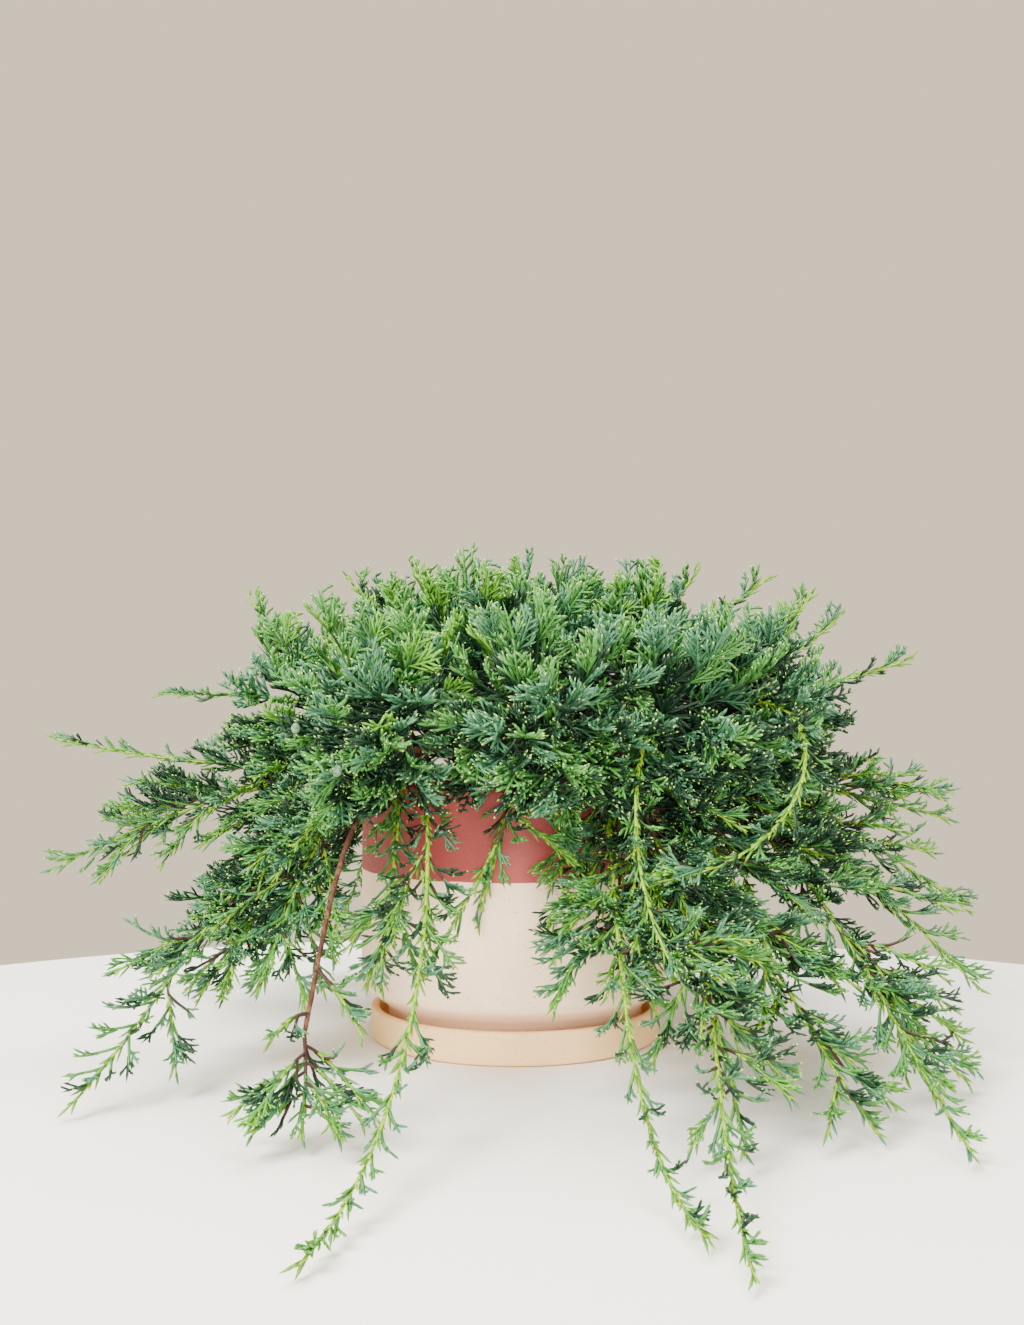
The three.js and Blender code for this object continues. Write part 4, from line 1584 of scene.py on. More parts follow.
    def _branchlets(self, fingers: Twigs, long: Array, number: Array) -> Twigs:
        """Grows the branchlets of many fingers.

        Args:
            fingers: The fingers.
            long: Their lengths.
            number: A number for each, for its chances.

        Returns:
            The branchlets.
        """
        number, size = number[:, None], long[:, None]
        m = np.arange(self.branchlets)[None]
        start = self.step * (m + 0.6 + 0.4 * (chance(number, m, 12) - 0.5))
        fits = start < size - 2.2
        share = column(np.minimum(start / size, 1))
        first, knee, end = (fingers.points[:, None, n] for n in range(3))
        root = np.where(share < self.knee, blend(first, knee, share / self.knee),
                        blend(knee, end, (share - self.knee) / (1 - self.knee)))
        ahead = unit(end - first)
        out = fingers.face[:, None]
        side = unit(np.cross(out, ahead)) * column(sign(m))
        lift = column(0.7 * chance(number, m, 13) - 0.2)
        spread = column(self.angle * varied(0.2, number, m, 14))
        along = unit(swung(ahead, side, spread) + out * lift)
        length = column((self.short + 0.42 * (size - start)) * varied(0.15, number, m, 15))
        t = np.array([0, 0.7, 1.0])
        line = root[:, :, None] + along[:, :, None] * column(length * t)
        line = line + ahead[:, :, None] * column(length * 0.16 * t**2)
        radii = self._thickness(fingers.mound, (0.8, 1.0, 0), line)
        face = np.broadcast_to(out, fits.shape + (3,))
        tone, mound = (np.broadcast_to(part[:, None], fits.shape) for part in (fingers.tone, fingers.mound))
        return Twigs(line[fits], radii[fits], face[fits], tone[fits], mound[fits])

    def _thickness(self, mound: Array, shares: Triple, lines: Array) -> Array:
        """The radii of fingers or branchlets at the three points of their lines, by shares of the most."""
        return np.where(mound, *self.radii)[:, None, None] * np.broadcast_to(shares, lines.shape[:3])

    def _tones(self, sprays: Sprays) -> Array:
        """Deals the tones.

        Args:
            sprays: The sprays.

        Returns:
            The number of each one's tone, by chance, and fresher the higher a spray's light is, which paints
            light and shade on the tufts.
        """
        deal = chance(sprays.seed, sprays.number, 21) + self.fresher * (sprays.light - 0.5)
        tones = [tone.number for tone in (Tone.DEEP, Tone.BLUE, Tone.MID)]
        return np.select([deal < limit for limit in self.deals], tones, Tone.FRESH.number)


@dataclass
class Scales:
    """Scale leaves pressed to the green part of a stem, every second one drawn out into a short branchlet.

    Attributes:
        step: Step between them along the stem.
        turn: How far round it each is from the last, in radians.
        length: Their least length, and how much longer the longest are.
        drawn: How much longer a branchlet is at least, and how much more at most.
        past: How far past the stem's tip the last may reach.
        radii: Radius of a scale at its root and at its knee.
        branchlet_radii: The same of a branchlet.
    """

    step: float = 2.6
    turn: float = 2.4
    length: Pair = (3, 2.4)
    drawn: Pair = (4, 3)
    past: float = 4
    radii: Pair = (0.6, 0.7)
    branchlet_radii: Pair = (0.7, 0.85)

    def grow(self, stem: Stem) -> Twigs:
        """Grows the scales of one stem, which bend outward from it.

        Args:
            stem: The stem.

        Returns:
            The scales, in the bright tones of fresh growth, with darker branchlets on a dense stem.
        """
        length = stem.curve.length
        t = np.arange(length * stem.plan.brown, length - 2, self.step) / length
        n = np.arange(len(t))
        ahead = stem.curve.ahead(t)
        turn = column(n * self.turn + chance(stem.seed, n, 18))
        side = stem.sides(ahead)
        out = swung(side, np.cross(ahead, side), turn)
        long = n % 2 == 0
        size = self.length[0] + self.length[1] * chance(stem.seed, n, 19)
        size = size + np.where(long, self.drawn[0] + self.drawn[1] * chance(stem.seed, n, 23), 0)
        size = column(np.minimum(size, (1 - t) * length + self.past))
        root = stem.curve.at(t) + out * column(blend(*stem.radii, t) * 0.5)
        knee, tip = root + (ahead * 0.6 + out * 0.22) * size, root + (ahead + out * 0.42) * size
        leafy = Tone.BLUE if stem.dense else Tone.FRESH
        tone = np.where(long, leafy.number, Tone.STEM.number)
        tone = np.where(chance(stem.seed, n, 20) < 0.5, Tone.FRESH.number, tone)
        radii = np.where(long[:, None], [*self.branchlet_radii, 0], [*self.radii, 0])
        return Twigs(np.stack([root, knee, tip], axis=1), radii, out, tone, np.full(len(n), stem.mound))


@dataclass
class Crown:
    """All foliage: tufts, shoots, forks and leaders, and their sprays, set out by the part's rule.

    Attributes:
        wood: The limbs that it grows on.
        shift: How far right of the trunk the mound stands.
        fork_radii: A fork's radius at the root and at the tip.
        leader_radii: A leader's.
        twig_radii: A side twig's.
        seed_step: Step between the seeds of a mass's forks or leaders, and between those of its side twigs.
        side_places: Shares of a dense shoot at which side twigs start.
        more_places: Where more of them start on a dense shoot with a collar.
        collar_places: Where a collar's first twig starts, and the step to the next.
        onward: How far on a side twig reaches, and how far it hangs, by its size.
        collar_onward: The same of a collar's twig.
        lowest: Height below which no side twig ends.
        pitch: Step between sprays along a stem.
        slope: Angle between a spray and its stem.
        pressed: How much of that angle the furthest sprays of a sparse stem lose.
        roll: Range of the sprays' turns round their stem, in radians.
        peak: Where along a stem its sprays are longest, and the share of that length that the first have.
        dwindle: How much shorter the last are, and the power by which they shorten.
        scant: The share of the length that sprays of a sparse stem have.
        tip_spray: Length of the spray at a stem's tip.
        fan: Angle that a stem's spray fans over.
        tuft_fan: Angle that a tuft's spray fans over.
        spray_out: How far a tuft's sprays stand out of its core.
        spray_sunk: How deep their roots are in it.
        lift: How far they turn up.
        lean: How far they turn outward.
        twist: Range of their fans' twists, in radians, which is doubled for every second one.
        stray: How far the directions of those that aren't the part's own stray.
        wander: How far their roots do.
        even: Steps of an even sequence of points in a square.
        skirt_sines: Sines of the slopes between which a skirt hangs.
        mantle_sines: The same of a mantle.
        shorter: Shares of its length at which a spray is tried.
        least: Length of the shortest sprays.
        curl: Rise of a spray's tip, as a share of its length.
        gaps: How far sprays and twigs keep from the limbs.
        pot_room: Height and radius of the space that the pot takes.
        floor: Height below which nothing grows.
        plumes: Most plumes of a spray.
        single: Length of a spray that counts for the plume at its tip.
        plume_step: How much longer it has to be for each plume beside that.
        plume_cap: Length of the longest plume.
        plume_fans: Angle that a plume fans over, on the mound and on the shoots.
        axis_radii: Radius of a spray's axis at its root and near its tip.
        stem_rings: Steps along a stem.
        knobs: Height of a stem's knobs, as a share of its radius.
        core_radii: Radius of a tuft's own stem at its root and in its core.
        rib_radii: Radius of the twigs from there to the sprays.
    """

    wood: Wood
    shift: float = 12
    fork_radii: Pair = (1.15, 0.7)
    leader_radii: Pair = (1.5, 0.85)
    twig_radii: Pair = (1, 0.65)
    seed_step: Pair = (0.31, 0.013)
    side_places: tuple[float, ...] = (0.12, 0.2, 0.29, 0.38, 0.48, 0.58, 0.69)
    more_places: tuple[float, ...] = (0.245, 0.335, 0.43, 0.53, 0.64, 0.77, 0.85)
    collar_places: Pair = (0.03, 0.022)
    onward: Pair = (0.74, 0.14)
    collar_onward: Pair = (0.3, 0.8)
    lowest: float = 10
    pitch: float = 8
    slope: float = 0.64
    pressed: float = 0.5
    roll: float = 2.3
    peak: Pair = (0.3, 0.62)
    dwindle: Pair = (0.72, 0.85)
    scant: float = 0.8
    tip_spray: float = 34
    fan: float = 0.88
    tuft_fan: float = 1.45
    spray_out: float = 48
    spray_sunk: float = 12
    lift: float = 0.5
    lean: float = 0.25
    twist: float = 1.2
    stray: float = 0.75
    wander: float = 16
    even: Pair = (0.7548776662466927, 0.5698402909980532)
    skirt_sines: Pair = (-0.9, -0.4)
    mantle_sines: Pair = (-0.85, 1)
    shorter: tuple[float, ...] = (1, 0.84, 0.7, 0.58, 0.45)
    least: float = 12
    curl: float = 0.16
    gaps: Pair = (1.5, 0.8)
    pot_room: Pair = (168.5, 104)
    floor: float = 3
    plumes: int = 4
    single: float = 16
    plume_step: float = 10.5
    plume_cap: float = 32
    plume_fans: Pair = (0.8, 0.62)
    axis_radii: Pair = (1.1, 0.75)
    stem_rings: int = 34
    knobs: float = 0.14
    core_radii: Pair = (2.4, 1.9)
    rib_radii: Pair = (1.3, 0.8)

    def __post_init__(self) -> None:
        """Sets out the tufts and the stems."""
        wood = self.wood
        self.tufts = [self._tuft(name, Ring.OUTER, i, wood.azimuths[i], wood.seat(name, 3, 2))
                      for i, name in enumerate(wood.names)]
        self.tufts += [self._tuft(f"inner_{i + 1}", Ring.INNER, i, azimuth, wood.inner[i].curve.handles[3])
                       for i, azimuth in enumerate(wood.inner_azimuths)]
        self.tufts.append(self._tuft("top", Ring.TOP, 0, 0, wood.trunk.curve.handles[3]))
        self.stems = self._stems()

    def _tuft(self, name: str, ring: Ring, i: int, azimuth: float, root: Array) -> Tuft:
        """A tuft, moved to the right with the mound.

        Args:
            name: Its node's name without "tuft_".
            ring: Where in the mound it sits.
            i: Its number in its ring.
            azimuth: Its direction, in degrees.
            root: The start of its stem.

        Returns:
            The tuft.
        """
        kind, a = ring.value, math.radians(azimuth)
        centre = np.array([kind.reach * math.cos(a) + self.shift, kind.reach * math.sin(a), kind.height])
        return Tuft(f"tuft_{name}", kind, kind.seed + i, root, centre)

    def _grow(self, root: Array, plan: Plan, seed: float) -> list[Stem]:
        """A shoot with all that it bears.

        Args:
            root: Where it starts.
            plan: How it grows.
            seed: Its seed.

        Returns:
            The shoot, its forks and their side twigs.
        """
        main = Stem(Curve.bent(root, plan.tip, plan.bend), plan, seed)
        step, radii = self.seed_step[0], self.fork_radii
        forks = [Stem(Curve.bent(main.curve.at(one.at), one.tip, one.bend), one, seed + step * (n + 1), radii)
                 for n, one in enumerate(plan.forks)]
        grown = [main, *forks]
        return grown + [twig for stem in grown for twig in self._side_twigs(stem)]

    def _side_twigs(self, stem: Stem) -> list[Stem]:
        """Finer twigs: a collar that hangs from the root, and side twigs that fill a dense shoot out.

        They leave to alternate sides, drooping, and are shorter the further out they start.

        Args:
            stem: The shoot or fork.

        Returns:
            The twigs, up to a spray and a half long.
        """
        plan, (first, step) = stem.plan, self.collar_places
        places = [first + step * n for n in range(plan.collar)]
        if stem.dense:
            places += self.side_places + (self.more_places if plan.collar else ())
        twigs = []
        for n, t in enumerate(places):
            ahead = stem.curve.ahead(t)
            side = square(stem.curve.side, ahead)
            turn = math.pi * n + 1.9 * (float(chance(stem.seed, n, 22)) - 0.5)
            out = side * math.cos(turn) + np.cross(ahead, side) * math.sin(turn)
            size = plan.spread * (1.5 - 0.9 * t)
            root = stem.curve.at(t)
            onward, down = self.collar_onward if n < plan.collar else self.onward
            end = root + size * (onward * ahead + 0.6 * out - down * UP)
            end[2] = max(end[2], self.lowest)
            twig = Plan(tuple(end), (0.12 * size, 0.04 * size, 0, 0), 0.52 * plan.spread, bare=5, brown=0.2)
            seed = stem.seed + self.seed_step[1] * (n + 1)
            twigs.append(Stem(Curve.bent(root, end, twig.bend), twig, seed, self.twig_radii))
        return twigs

    def _stems(self) -> list[Stem]:
        """Everything that bears sprays, but for the tufts.

        Returns:
            All shoots with their forks, the rear's by a loop, and the tufts' leaders.
        """
        wood, bare, stems = self.wood, self.wood.bare.curve, []
        for i, plan in enumerate(FRONT_SHOOTS):
            stems += self._grow(wood.seat(plan.bough, plan.seat, 1.8), plan, SHOOT_SEED + i)
        for b, name in enumerate(REAR_BOUGHS):
            for j, turn in enumerate(REAR_TURNS):
                kind = REAR_KINDS[(b + j) % 3]
                a = math.radians(wood.azimuths[wood.names.index(name)] + turn)
                tip = (kind.reach * math.cos(a), kind.reach * math.sin(a), kind.height)
                plan = Plan(tip, kind.bend, kind.spread, f"shoot_{name}_{j + 1}")
                stems += self._grow(wood.seat(name, 2 - j, 1.8), plan, REAR_SEED + 3 * b + j)
        stems += self._grow(bare.handles[3], FOOT_SHOOT, FOOT_SEED)
        for n, twig in enumerate(LIMB_TWIGS):
            stems += self._grow(bare.at(twig.at), twig, TWIG_SEED + n)
        for tuft in self.tufts:
            for n, leader in enumerate(LEADERS.get(tuft.name, ())):
                own = replace(leader, bare=tuft.kind.core[0] + 4, density=0.95, brown=0.05)
                curve = Curve.bent(tuft.centre, own.tip, own.bend)
                stems.append(Stem(curve, own, tuft.seed + self.seed_step[0] * (n + 1), self.leader_radii))
        return stems

    def _placed(self, stem: Stem) -> Sprays:
        """The sprays along one stem, by the part's rule at every place, and the one at its tip.

        Each leaves the stem at the same slope, to alternate sides, turned a little round it. They are longest
        a third of the way along, and short at the tip, where a sparse stem's lie closer to it.

        Args:
            stem: The stem.

        Returns:
            The sprays.
        """
        length = stem.curve.length
        k = np.arange(max(int((length - stem.plan.bare - self.tip_spray) / self.pitch) + 1, 1))
        k = k[chance(stem.seed, k, 17) < stem.plan.density]
        t = np.minimum((stem.plan.bare + (k + 0.5) * self.pitch) / length, 0.95)
        ahead = stem.curve.ahead(t)
        side = stem.sides(ahead)
        above = -np.cross(side, ahead)
        turn = column(np.where(k % 2 == 0, 0, np.pi) + (chance(stem.seed, k, 1) - 0.5) * self.roll)
        out = swung(side, above, turn)
        slope = column(self.slope * (1 - self.pressed * np.clip(2 * t - 0.8, 0, 1) * stem.sparse))
        along = swung(ahead, out, slope)
        across = np.cross(square(above + 0.2 * out, along), along)
        (peak, first), (less, power) = self.peak, self.dwindle
        rising = first + (1 - first) * t / peak
        falling = 1 - less * np.clip((t - peak) / (1 - peak), 0, 1) ** power
        long = stem.plan.spread * np.where(t < peak, rising, falling) * varied(0.15, stem.seed, k, 2)
        long = long * (self.scant if stem.sparse else 1)
        last = stem.curve.at(max(1 - self.tip_spray / length, 0.3))
        end = stem.curve.handles[3] - last
        tip_along = unit(end)
        root = np.concatenate([stem.curve.at(t), [last]])
        along = np.concatenate([along, [tip_along]])
        across = np.concatenate([across, [square(stem.curve.side, tip_along)]])
        fan, seed, mound = (np.full(len(root), value) for value in (self.fan, stem.seed, stem.mound))
        return Sprays(root, along, across, np.append(long, np.linalg.norm(end)), fan, seed,
                      np.append(k, 99), np.append(0.9 * t - 0.5, 0.6), mound)

    def _on_tuft(self, tuft: Tuft) -> Sprays:
        """The sprays of one tuft, by the part's rule and carried on: an even sequence over the core.

        Each stands along the ray from the core's middle, turned up and outward, its root sunk in the core.
        The skirt's hang from the lower side, and the mantle's are short, lie along the core like tiles and
        are dealt darker tones as painted shade.

        Args:
            tuft: The tuft.

        Returns:
            The sprays.
        """
        kind = tuft.kind
        i = np.arange(kind.sprays + kind.skirt + kind.mantle)
        skirt = (i >= kind.sprays) & (i < kind.sprays + kind.skirt)
        mantle = i >= kind.sprays + kind.skirt
        outward = unit(tuft.centre * [1, 1, 0])
        sideways = np.cross(UP, outward)
        share = (0.5 + (i + 1) * self.even[0]) % 1
        turn = kind.around * (((0.5 + (i + 1) * self.even[1] + float(chance(tuft.seed, 0, 3))) % 1) - 0.5)
        turn = np.select([skirt, mantle], [0.7 * turn, TURN / kind.around * turn], turn)
        sine = np.select([skirt, mantle], [blend(*self.skirt_sines, share), blend(*self.mantle_sines, share)],
                         blend(kind.lowest, 1, share))
        flat = np.sqrt(1 - sine**2)
        ray = column(flat * np.cos(turn)) * outward + column(flat * np.sin(turn)) * sideways
        ray = ray + column(sine) * UP
        lift = np.where(skirt, -0.35, self.lift * np.clip(sine / 0.6, 0, 1))
        stray = np.stack([chance(tuft.seed, i, k) - 0.5 for k in (41, 42, 43)], axis=-1)
        stray = stray * column(i >= kind.exact)
        along = unit(ray + column(lift) * UP + self.lean * outward + self.stray * stray)
        radius = 1 / np.sqrt((ray @ outward / kind.core[0]) ** 2 + (ray @ sideways / kind.core[1]) ** 2
                             + (sine / kind.core[2]) ** 2)
        level = square(np.where(column(np.abs(along[:, 2]) > 0.9), outward, np.cross(UP, along)), along)
        twist = column(np.where(i % 2 == 0, 1.0, 2.0) * self.twist * (chance(tuft.seed, i, 4) - 0.5))
        across = swung(level, np.cross(along, level), twist)
        tile = column(TURN * chance(tuft.seed, i, 5))
        tiled = unit(swung(level, np.cross(ray, level), tile) + 0.45 * ray)
        along = np.where(column(mantle), tiled, along)
        across = square(np.where(column(mantle), np.cross(ray, unit(tiled)), across), along)
        depth = np.where(mantle, 0.95, np.where(i % 3 == 2, 0.72, 1.0))
        root = tuft.centre + ray * column((radius - self.spray_sunk) * depth) + self.wander * stray
        long = self.spray_sunk + self.spray_out * varied(0.15, tuft.seed, i, 6)
        long = np.where(mantle, 0.62 * long, long)
        # Painted light and shade: sprays that face up, and those further left towards the key lamp, get a
        # higher light and so lighter greens; the mantle's get none, as painted shade inside the tuft.
        light = np.where(mantle, 0.0, np.clip(0.35 + 0.5 * sine - 0.0012 * root[:, 0], 0, 1))
        fan, seed, mound = (np.full(len(i), value) for value in (self.tuft_fan, float(tuft.seed), True))
        return Sprays(root, along, across, long, fan, seed, i, light, mound)

    def clear(self, points: Array, gap: float) -> Array:
        """Which points are in the open.

        Args:
            points: The points, in rows.
            gap: How far from the bark they have to be.

        Returns:
            True for each point above the floor, out of the pot and clear of every limb.
        """
        height, radius = self.pot_room
        in_pot = (points[:, 2] < height) & (np.hypot(points[:, 0], points[:, 1]) < radius)
        return (points[:, 2] > self.floor) & ~in_pot & self.wood.clear(points, gap)

    def fitted(self, sprays: Sprays) -> Sprays:
        """Sprays in the room that they have.

        Args:
            sprays: The sprays.

        Returns:
            Those that have any, each cut to the first length at which three points of its axis are clear.
        """
        done = np.zeros(len(sprays.length), bool)
        length = np.zeros(len(sprays.length))
        face = np.cross(sprays.along, sprays.across)
        for share in self.shorter:
            trial = sprays.length * share
            good = np.ones(len(trial), bool)
            for part in (0.4, 0.7, 1.0):
                ahead, above = trial * part, self.curl * trial * part**2
                points = sprays.root + sprays.along * column(ahead) + face * column(above)
                good &= self.clear(points, self.gaps[0])
            take = good & ~done & (trial > self.least)
            length[take] = trial[take]
            done |= take
        kept = sprays.kept(done)
        kept.length = length[done]
        return kept

    def _divided(self, sprays: Sprays) -> tuple[Sprays, Twigs]:
        """Divides sprays into plumes: some to alternate sides of the spray's axis, and one at its tip.

        Plume m of n leaves the axis at the share 0.16 + 0.5 * m / n, twisted about its own line by chance.

        Args:
            sprays: The sprays.

        Returns:
            The plumes, and the axes that they stand on.
        """
        size = sprays.length[:, None]
        face = np.cross(sprays.along, sprays.across)
        near = (sprays.seed * 9.1 + sprays.number)[:, None]
        m = np.arange(self.plumes)[None]
        count = np.clip(((size - self.single) / self.plume_step).astype(int), 0, self.plumes - 1)
        last = m == count
        share = np.where(last, 0, 0.16 + 0.5 * (m + 0.5 * chance(near, m, 31)) / np.maximum(count, 1))
        length = size * (0.52 - 0.12 * share) * varied(0.15, near, m, 32)
        length = np.clip(length, 11, self.plume_cap)
        length = np.where(last, np.clip(0.56 * size, 12, self.plume_cap), length)
        u = np.where(last, size - length, share * size)
        turn = sprays.fan[:, None] * 0.44 * varied(0.25, near, m, 33) * sign(m)
        turn = column(np.where(last, 0.12 * turn, turn))
        lift = column(0.14 + 0.5 * (chance(near, m, 34) - 0.4))
        along, across, out = (part[:, None] for part in (sprays.along, sprays.across, face))
        root = sprays.root[:, None] + along * column(u) + out * column(self.curl * u**2 / size)
        ahead = unit(swung(along, across, turn) + out * lift)
        level = square(swung(across, -along, turn), ahead)
        twist = column(1.7 * (chance(near, m, 35) - 0.5))
        fan = swung(level, np.cross(ahead, level), twist)
        keep = m <= count
        seed, mound = (np.broadcast_to(part[:, None], keep.shape)[keep]
                       for part in (sprays.seed, sprays.mound))
        number = (sprays.number[:, None] * 7.7 + m)[keep]
        light = (sprays.light[:, None] + 0.5 * (np.where(last, 0.8, share) - 0.5))[keep]
        wide = np.where(mound, *self.plume_fans)
        plumes = Sprays(root[keep], ahead[keep], fan[keep], length[keep], wide, seed, number, light, mound)
        t = np.linspace(0, 0.8, 4) * size
        line = sprays.root[:, None] + along * column(t) + out * column(self.curl * t**2 / size)
        # Painted shade: the mound's axes are dealt the darkest green; a shoot's are woody near its root and
        # mid green further out.
        tones = [Tone.DEEP.number, Tone.WOOD.number]
        tone = np.select([sprays.mound, sprays.light < -0.25], tones, Tone.MID.number)
        radii = np.broadcast_to(np.linspace(*self.axis_radii, 4), t.shape)
        return plumes, Twigs(line, radii, face, tone, sprays.mound)

    def _stem_twigs(self) -> list[Twigs]:
        """The stems.

        Returns:
            Their woody and green runs, a little knobbly, and the scales on the green ones.
        """
        brown, green = [], []
        knob = 1 + self.knobs * sign(np.arange(self.stem_rings))
        for stem in self.stems:
            split = stem.plan.brown
            for run, kind in (((0, split), brown), ((max(split - 0.01, 0), 1), green)):
                t = np.linspace(*run, self.stem_rings)
                kind.append((stem.curve.at(t), blend(*stem.radii, t) * knob, stem.curve.side))
        mound = np.array([stem.mound for stem in self.stems])
        groups = []
        for kind, tone in ((brown, Tone.WOOD), (green, Tone.STEM)):
            points, radii, side = (np.array(part) for part in zip(*kind))
            groups.append(Twigs(points, radii, side, np.full(len(points), tone.number), mound))
        return [*groups, Twigs.joined([Scales().grow(stem) for stem in self.stems])]

    def _ribs(self) -> Twigs:
        """Twigs inside the tufts.

        Returns:
            A woody one from the bough to each core's middle, and one from there to each spray, in the darkest
            green as painted shade.
        """
        lines, radii, tones = [], [], []
        t = np.linspace(0, 1, 5)
        for tuft in self.tufts:
            roots = self._on_tuft(tuft).root
            lines.append(Curve.bent(tuft.root, tuft.centre, (0, 4, 0, 0)).at(t))
            lines += [Curve.bent(tuft.centre, root, (-3, 2, 0, 0)).at(t) for root in roots]
            radii += [blend(*self.core_radii, t)] + [blend(*self.rib_radii, t)] * len(roots)
            tones += [Tone.WOOD.number] + [Tone.DEEP.number] * len(roots)
        side = np.broadcast_to([0.36, 0.48, 0.8], (len(lines), 3))
        return Twigs(np.array(lines), np.array(radii), side, np.array(tones), np.ones(len(lines), bool))

    def build(self) -> None:
        """Grows everything, leaves out what isn't clear, and joins it by mound or shoots and by tone."""
        placed = [self._placed(stem) for stem in self.stems]
        sprays = self.fitted(Sprays.joined([*map(self._on_tuft, self.tufts), *placed]))
        plumes, axes = self._divided(sprays)
        LOG.info("%d sprays, %d plumes", len(sprays.length), len(plumes.length))
        gap = self.gaps[1]
        groups = [group.kept(self.clear(group.points[:, -1], gap) & self.clear(group.points[:, 1], gap))
                  for group in (axes, *Plume().grow(plumes))]
        groups += [*self._stem_twigs(), self._ribs()]
        tufts = [tuft.name for tuft in self.tufts]
        shoots = [stem.plan.name for stem in self.stems if stem.plan.name]
        for tone in Tone:
            material = tone.value.make(f"{tone.name.lower()} juniper")
            for mound, label, slot, nodes in ((True, "mound", Slot.MOUND, tufts),
                                              (False, "shoots", Slot.SHOOTS, shoots)):
                parts = [group.kept((group.tone == tone.number) & (group.mound == mound)) for group in groups]
                surfaces = [prisms(part.points, part.radii, part.face) for part in parts if len(part.points)]
                add_piece(f"{label}_{tone.name.lower()}", Surface.joined(surfaces), material, nodes)
        Cones().build(plumes)


@dataclass
class Cones:
    """Small round cones with a waxy bloom, each held by the plume that is nearest to its place.

    Attributes:
        places: Where they are looked for.
        size: Half their width.
        longer: Their length by their width.
        out: How far along its plume each sits, as a share of the plume's length.
        aside: How far beside it, by its size.
        rings: Steps along them.
        sides: Steps round them.
        seed: Their seed.
    """

    places: tuple[Triple, ...] = ((-92, -182, 179), (-150, -120, 196), (150, -128, 190), (88, 148, 214),
                                  (-120, 122, 206), (186, 20, 214))
    size: float = 2.7
    longer: float = 1.2
    out: float = 0.55
    aside: float = 1.1
    rings: int = 12
    sides: int = 18
    seed: int = 91

    def build(self, plumes: Sprays) -> None:
        """Makes them, as one piece.

        Args:
            plumes: The plumes that may hold one.
        """
        parts = []
        turn = np.linspace(0, np.pi, self.rings)
        profile = np.stack([np.sin(turn), -self.longer * np.cos(turn)], axis=-1)
        held = plumes.root + plumes.along * column(self.out * plumes.length)
        for n, place in enumerate(self.places):
            k = int(np.argmin(np.linalg.norm(held - place, axis=1)))
            ball = turned(profile * self.size * float(varied(0.1, self.seed, n, 1)), self.sides)
            aside = square(plumes.across[k] - 0.4 * UP, plumes.along[k])
            parts.append(Surface(ball.points + held[k] + aside * self.size * self.aside, ball.faces))
        merge(add_piece("cones", Surface.joined(parts), Bloom().make("cone bloom")))


# Floor, light and camera


@dataclass(frozen=True)
class Lamp:
    """A square soft light that looks at the plant.

    Attributes:
        name: Its name.
        place: Where it is, in metres.
        size: Its side, in metres.
        power: Its power, in watts.
        colour: Its linear colour.
    """

    name: str
    place: Triple
    size: float
    power: float
    colour: Triple

    def build(self, target: Triple) -> None:
        """Makes it.

        Args:
            target: The place that it is turned to.
        """
        data = bpy.data.lights.new(self.name, "AREA")
        data.size, data.energy, data.color = self.size, self.power, self.colour
        light = bpy.data.objects.new(self.name, data)
        light.location = self.place
        light.rotation_euler = (Vector(target) - Vector(self.place)).to_track_quat("-Z", "Y").to_euler()
        bpy.context.scene.collection.objects.link(light)


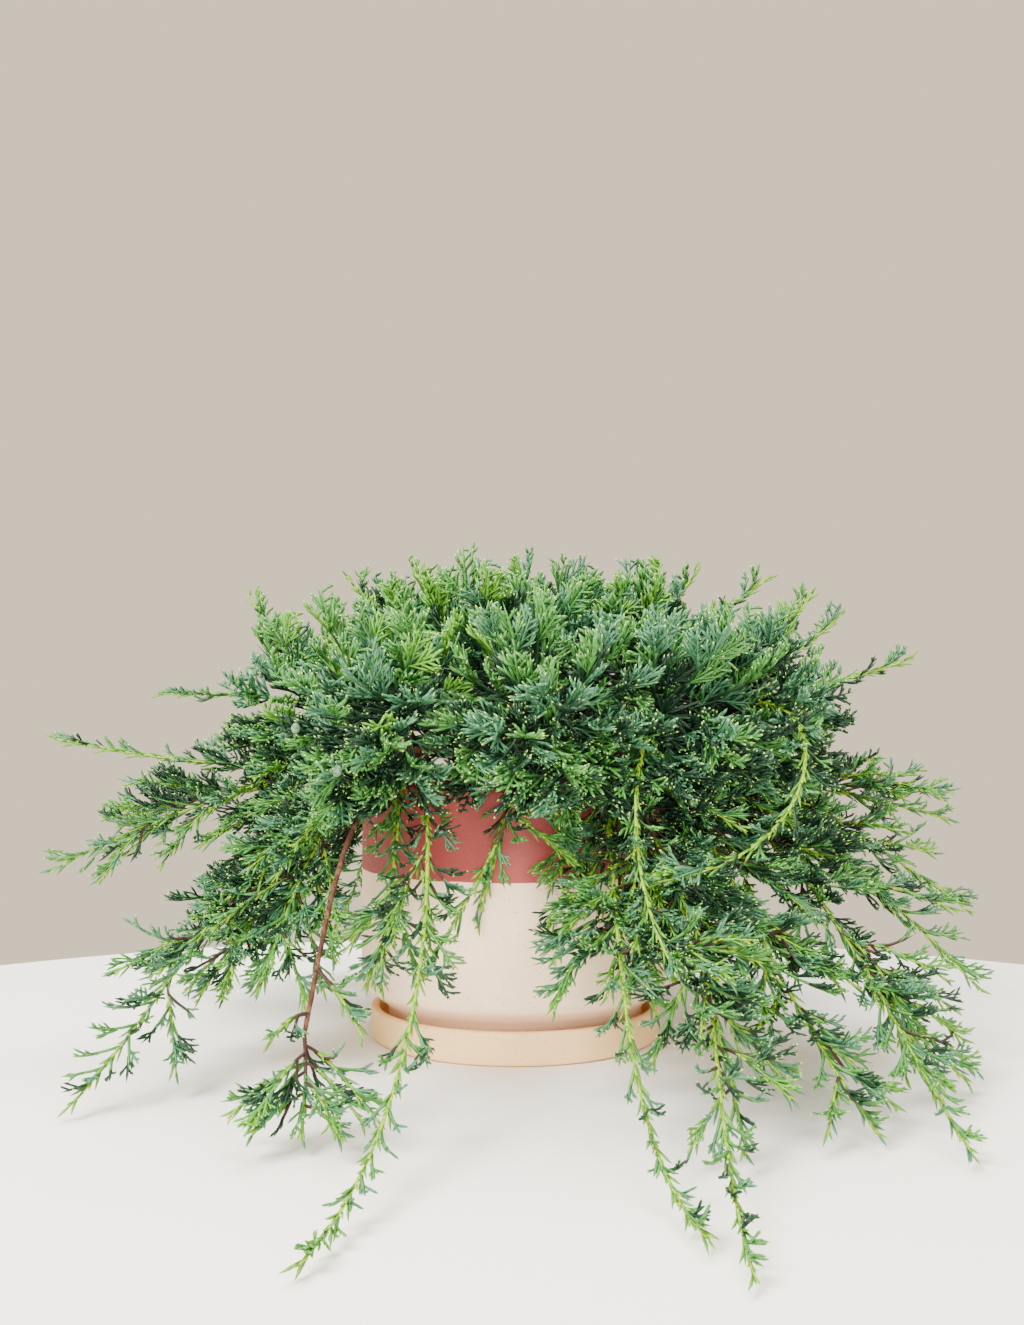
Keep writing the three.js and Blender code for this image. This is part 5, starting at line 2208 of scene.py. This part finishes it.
@dataclass
class Studio:
    """A pale floor, soft light and the camera.

    Attributes:
        focal: The photograph's focal length in its own pixels.
        height: Its height in them.
        eye: The camera's place, in metres.
        horizon: Row of the photograph that is level with the camera.
        shift: How far the object stands right of the photograph's middle, in its pixels.
        sensor: Size of the camera's sensor.
        floor_radius: Radius of the floor, in metres.
        floor_middle: How far back its middle is, in metres.
        floor_sides: Steps round it.
        floor_colour: Its colour.
        wall_colour: Colour of the background.
        wall_light: Strength of its light.
        target: What the lamps look at, in metres.
        lamps: The lamps.
    """

    focal: float = 1390
    height: float = 1325
    eye: Triple = (0, -0.938, 0.213)
    horizon: float = 713
    shift: float = -3
    sensor: float = 36
    floor_radius: float = 0.72
    floor_middle: float = -0.33
    floor_sides: int = 128
    floor_colour: Colour = (248, 247, 243)
    wall_colour: Colour = (209, 194, 169)
    wall_light: float = 1.75
    target: Triple = (0, 0, 0.15)
    lamps: tuple[Lamp, ...] = (Lamp("key", (-1.1, -1.4, 1.7), 1.0, 150, (1, 0.98, 0.94)),
                               Lamp("front", (0.5, -2.3, 0.7), 1.6, 78, (1, 0.985, 0.95)),
                               Lamp("top", (0.1, 0.5, 1.9), 1.2, 60, (1, 1, 0.97)))

    def camera(self) -> None:
        """The camera at the photograph's place and angle."""
        data = bpy.data.cameras.new("camera")
        data.sensor_width = self.sensor
        data.lens = self.sensor * self.focal / self.height
        data.shift_x = self.shift / self.height
        data.clip_start = 0.05
        camera = bpy.data.objects.new("camera", data)
        camera.location = self.eye
        tilt = math.atan((self.horizon - self.height / 2) / self.focal)
        camera.rotation_euler = (math.pi / 2 + tilt, 0, 0)
        bpy.context.scene.collection.objects.link(camera)
        bpy.context.scene.camera = camera

    def floor(self) -> None:
        """A round pale floor."""
        angle, r = circle(self.floor_sides), self.floor_radius
        edge = np.stack([r * np.cos(angle), r * np.sin(angle) + self.floor_middle, 0 * angle], axis=-1)
        mesh = bpy.data.meshes.new("floor")
        mesh.from_pydata(edge.tolist(), [], [list(range(self.floor_sides))])
        finish = Shader("pale floor", Base_Color=linear(self.floor_colour), Roughness=0.7)
        mesh.materials.append(finish.material)
        floor = bpy.data.objects.new("floor", mesh)
        bpy.context.scene.collection.objects.link(floor)

    def background(self) -> None:
        """An even, warm grey background that lights the scene softly."""
        world = bpy.data.worlds.new("studio")
        world.use_nodes = True
        sockets = world.node_tree.nodes["Background"].inputs
        sockets["Color"].default_value = linear(self.wall_colour)
        sockets["Strength"].default_value = self.wall_light
        bpy.context.scene.world = world

    def build(self) -> None:
        """Makes all of it."""
        self.camera()
        self.floor()
        for lamp in self.lamps:
            lamp.build(self.target)
        self.background()


def main() -> None:
    """Builds the object and its studio."""
    logging.basicConfig(level=logging.INFO, format="%(message)s")
    Studio().build()
    Planter().build()
    Potting().build()
    wood = Wood()
    wood.build()
    Crown(wood).build()
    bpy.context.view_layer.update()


if __name__ == "__main__":
    main()
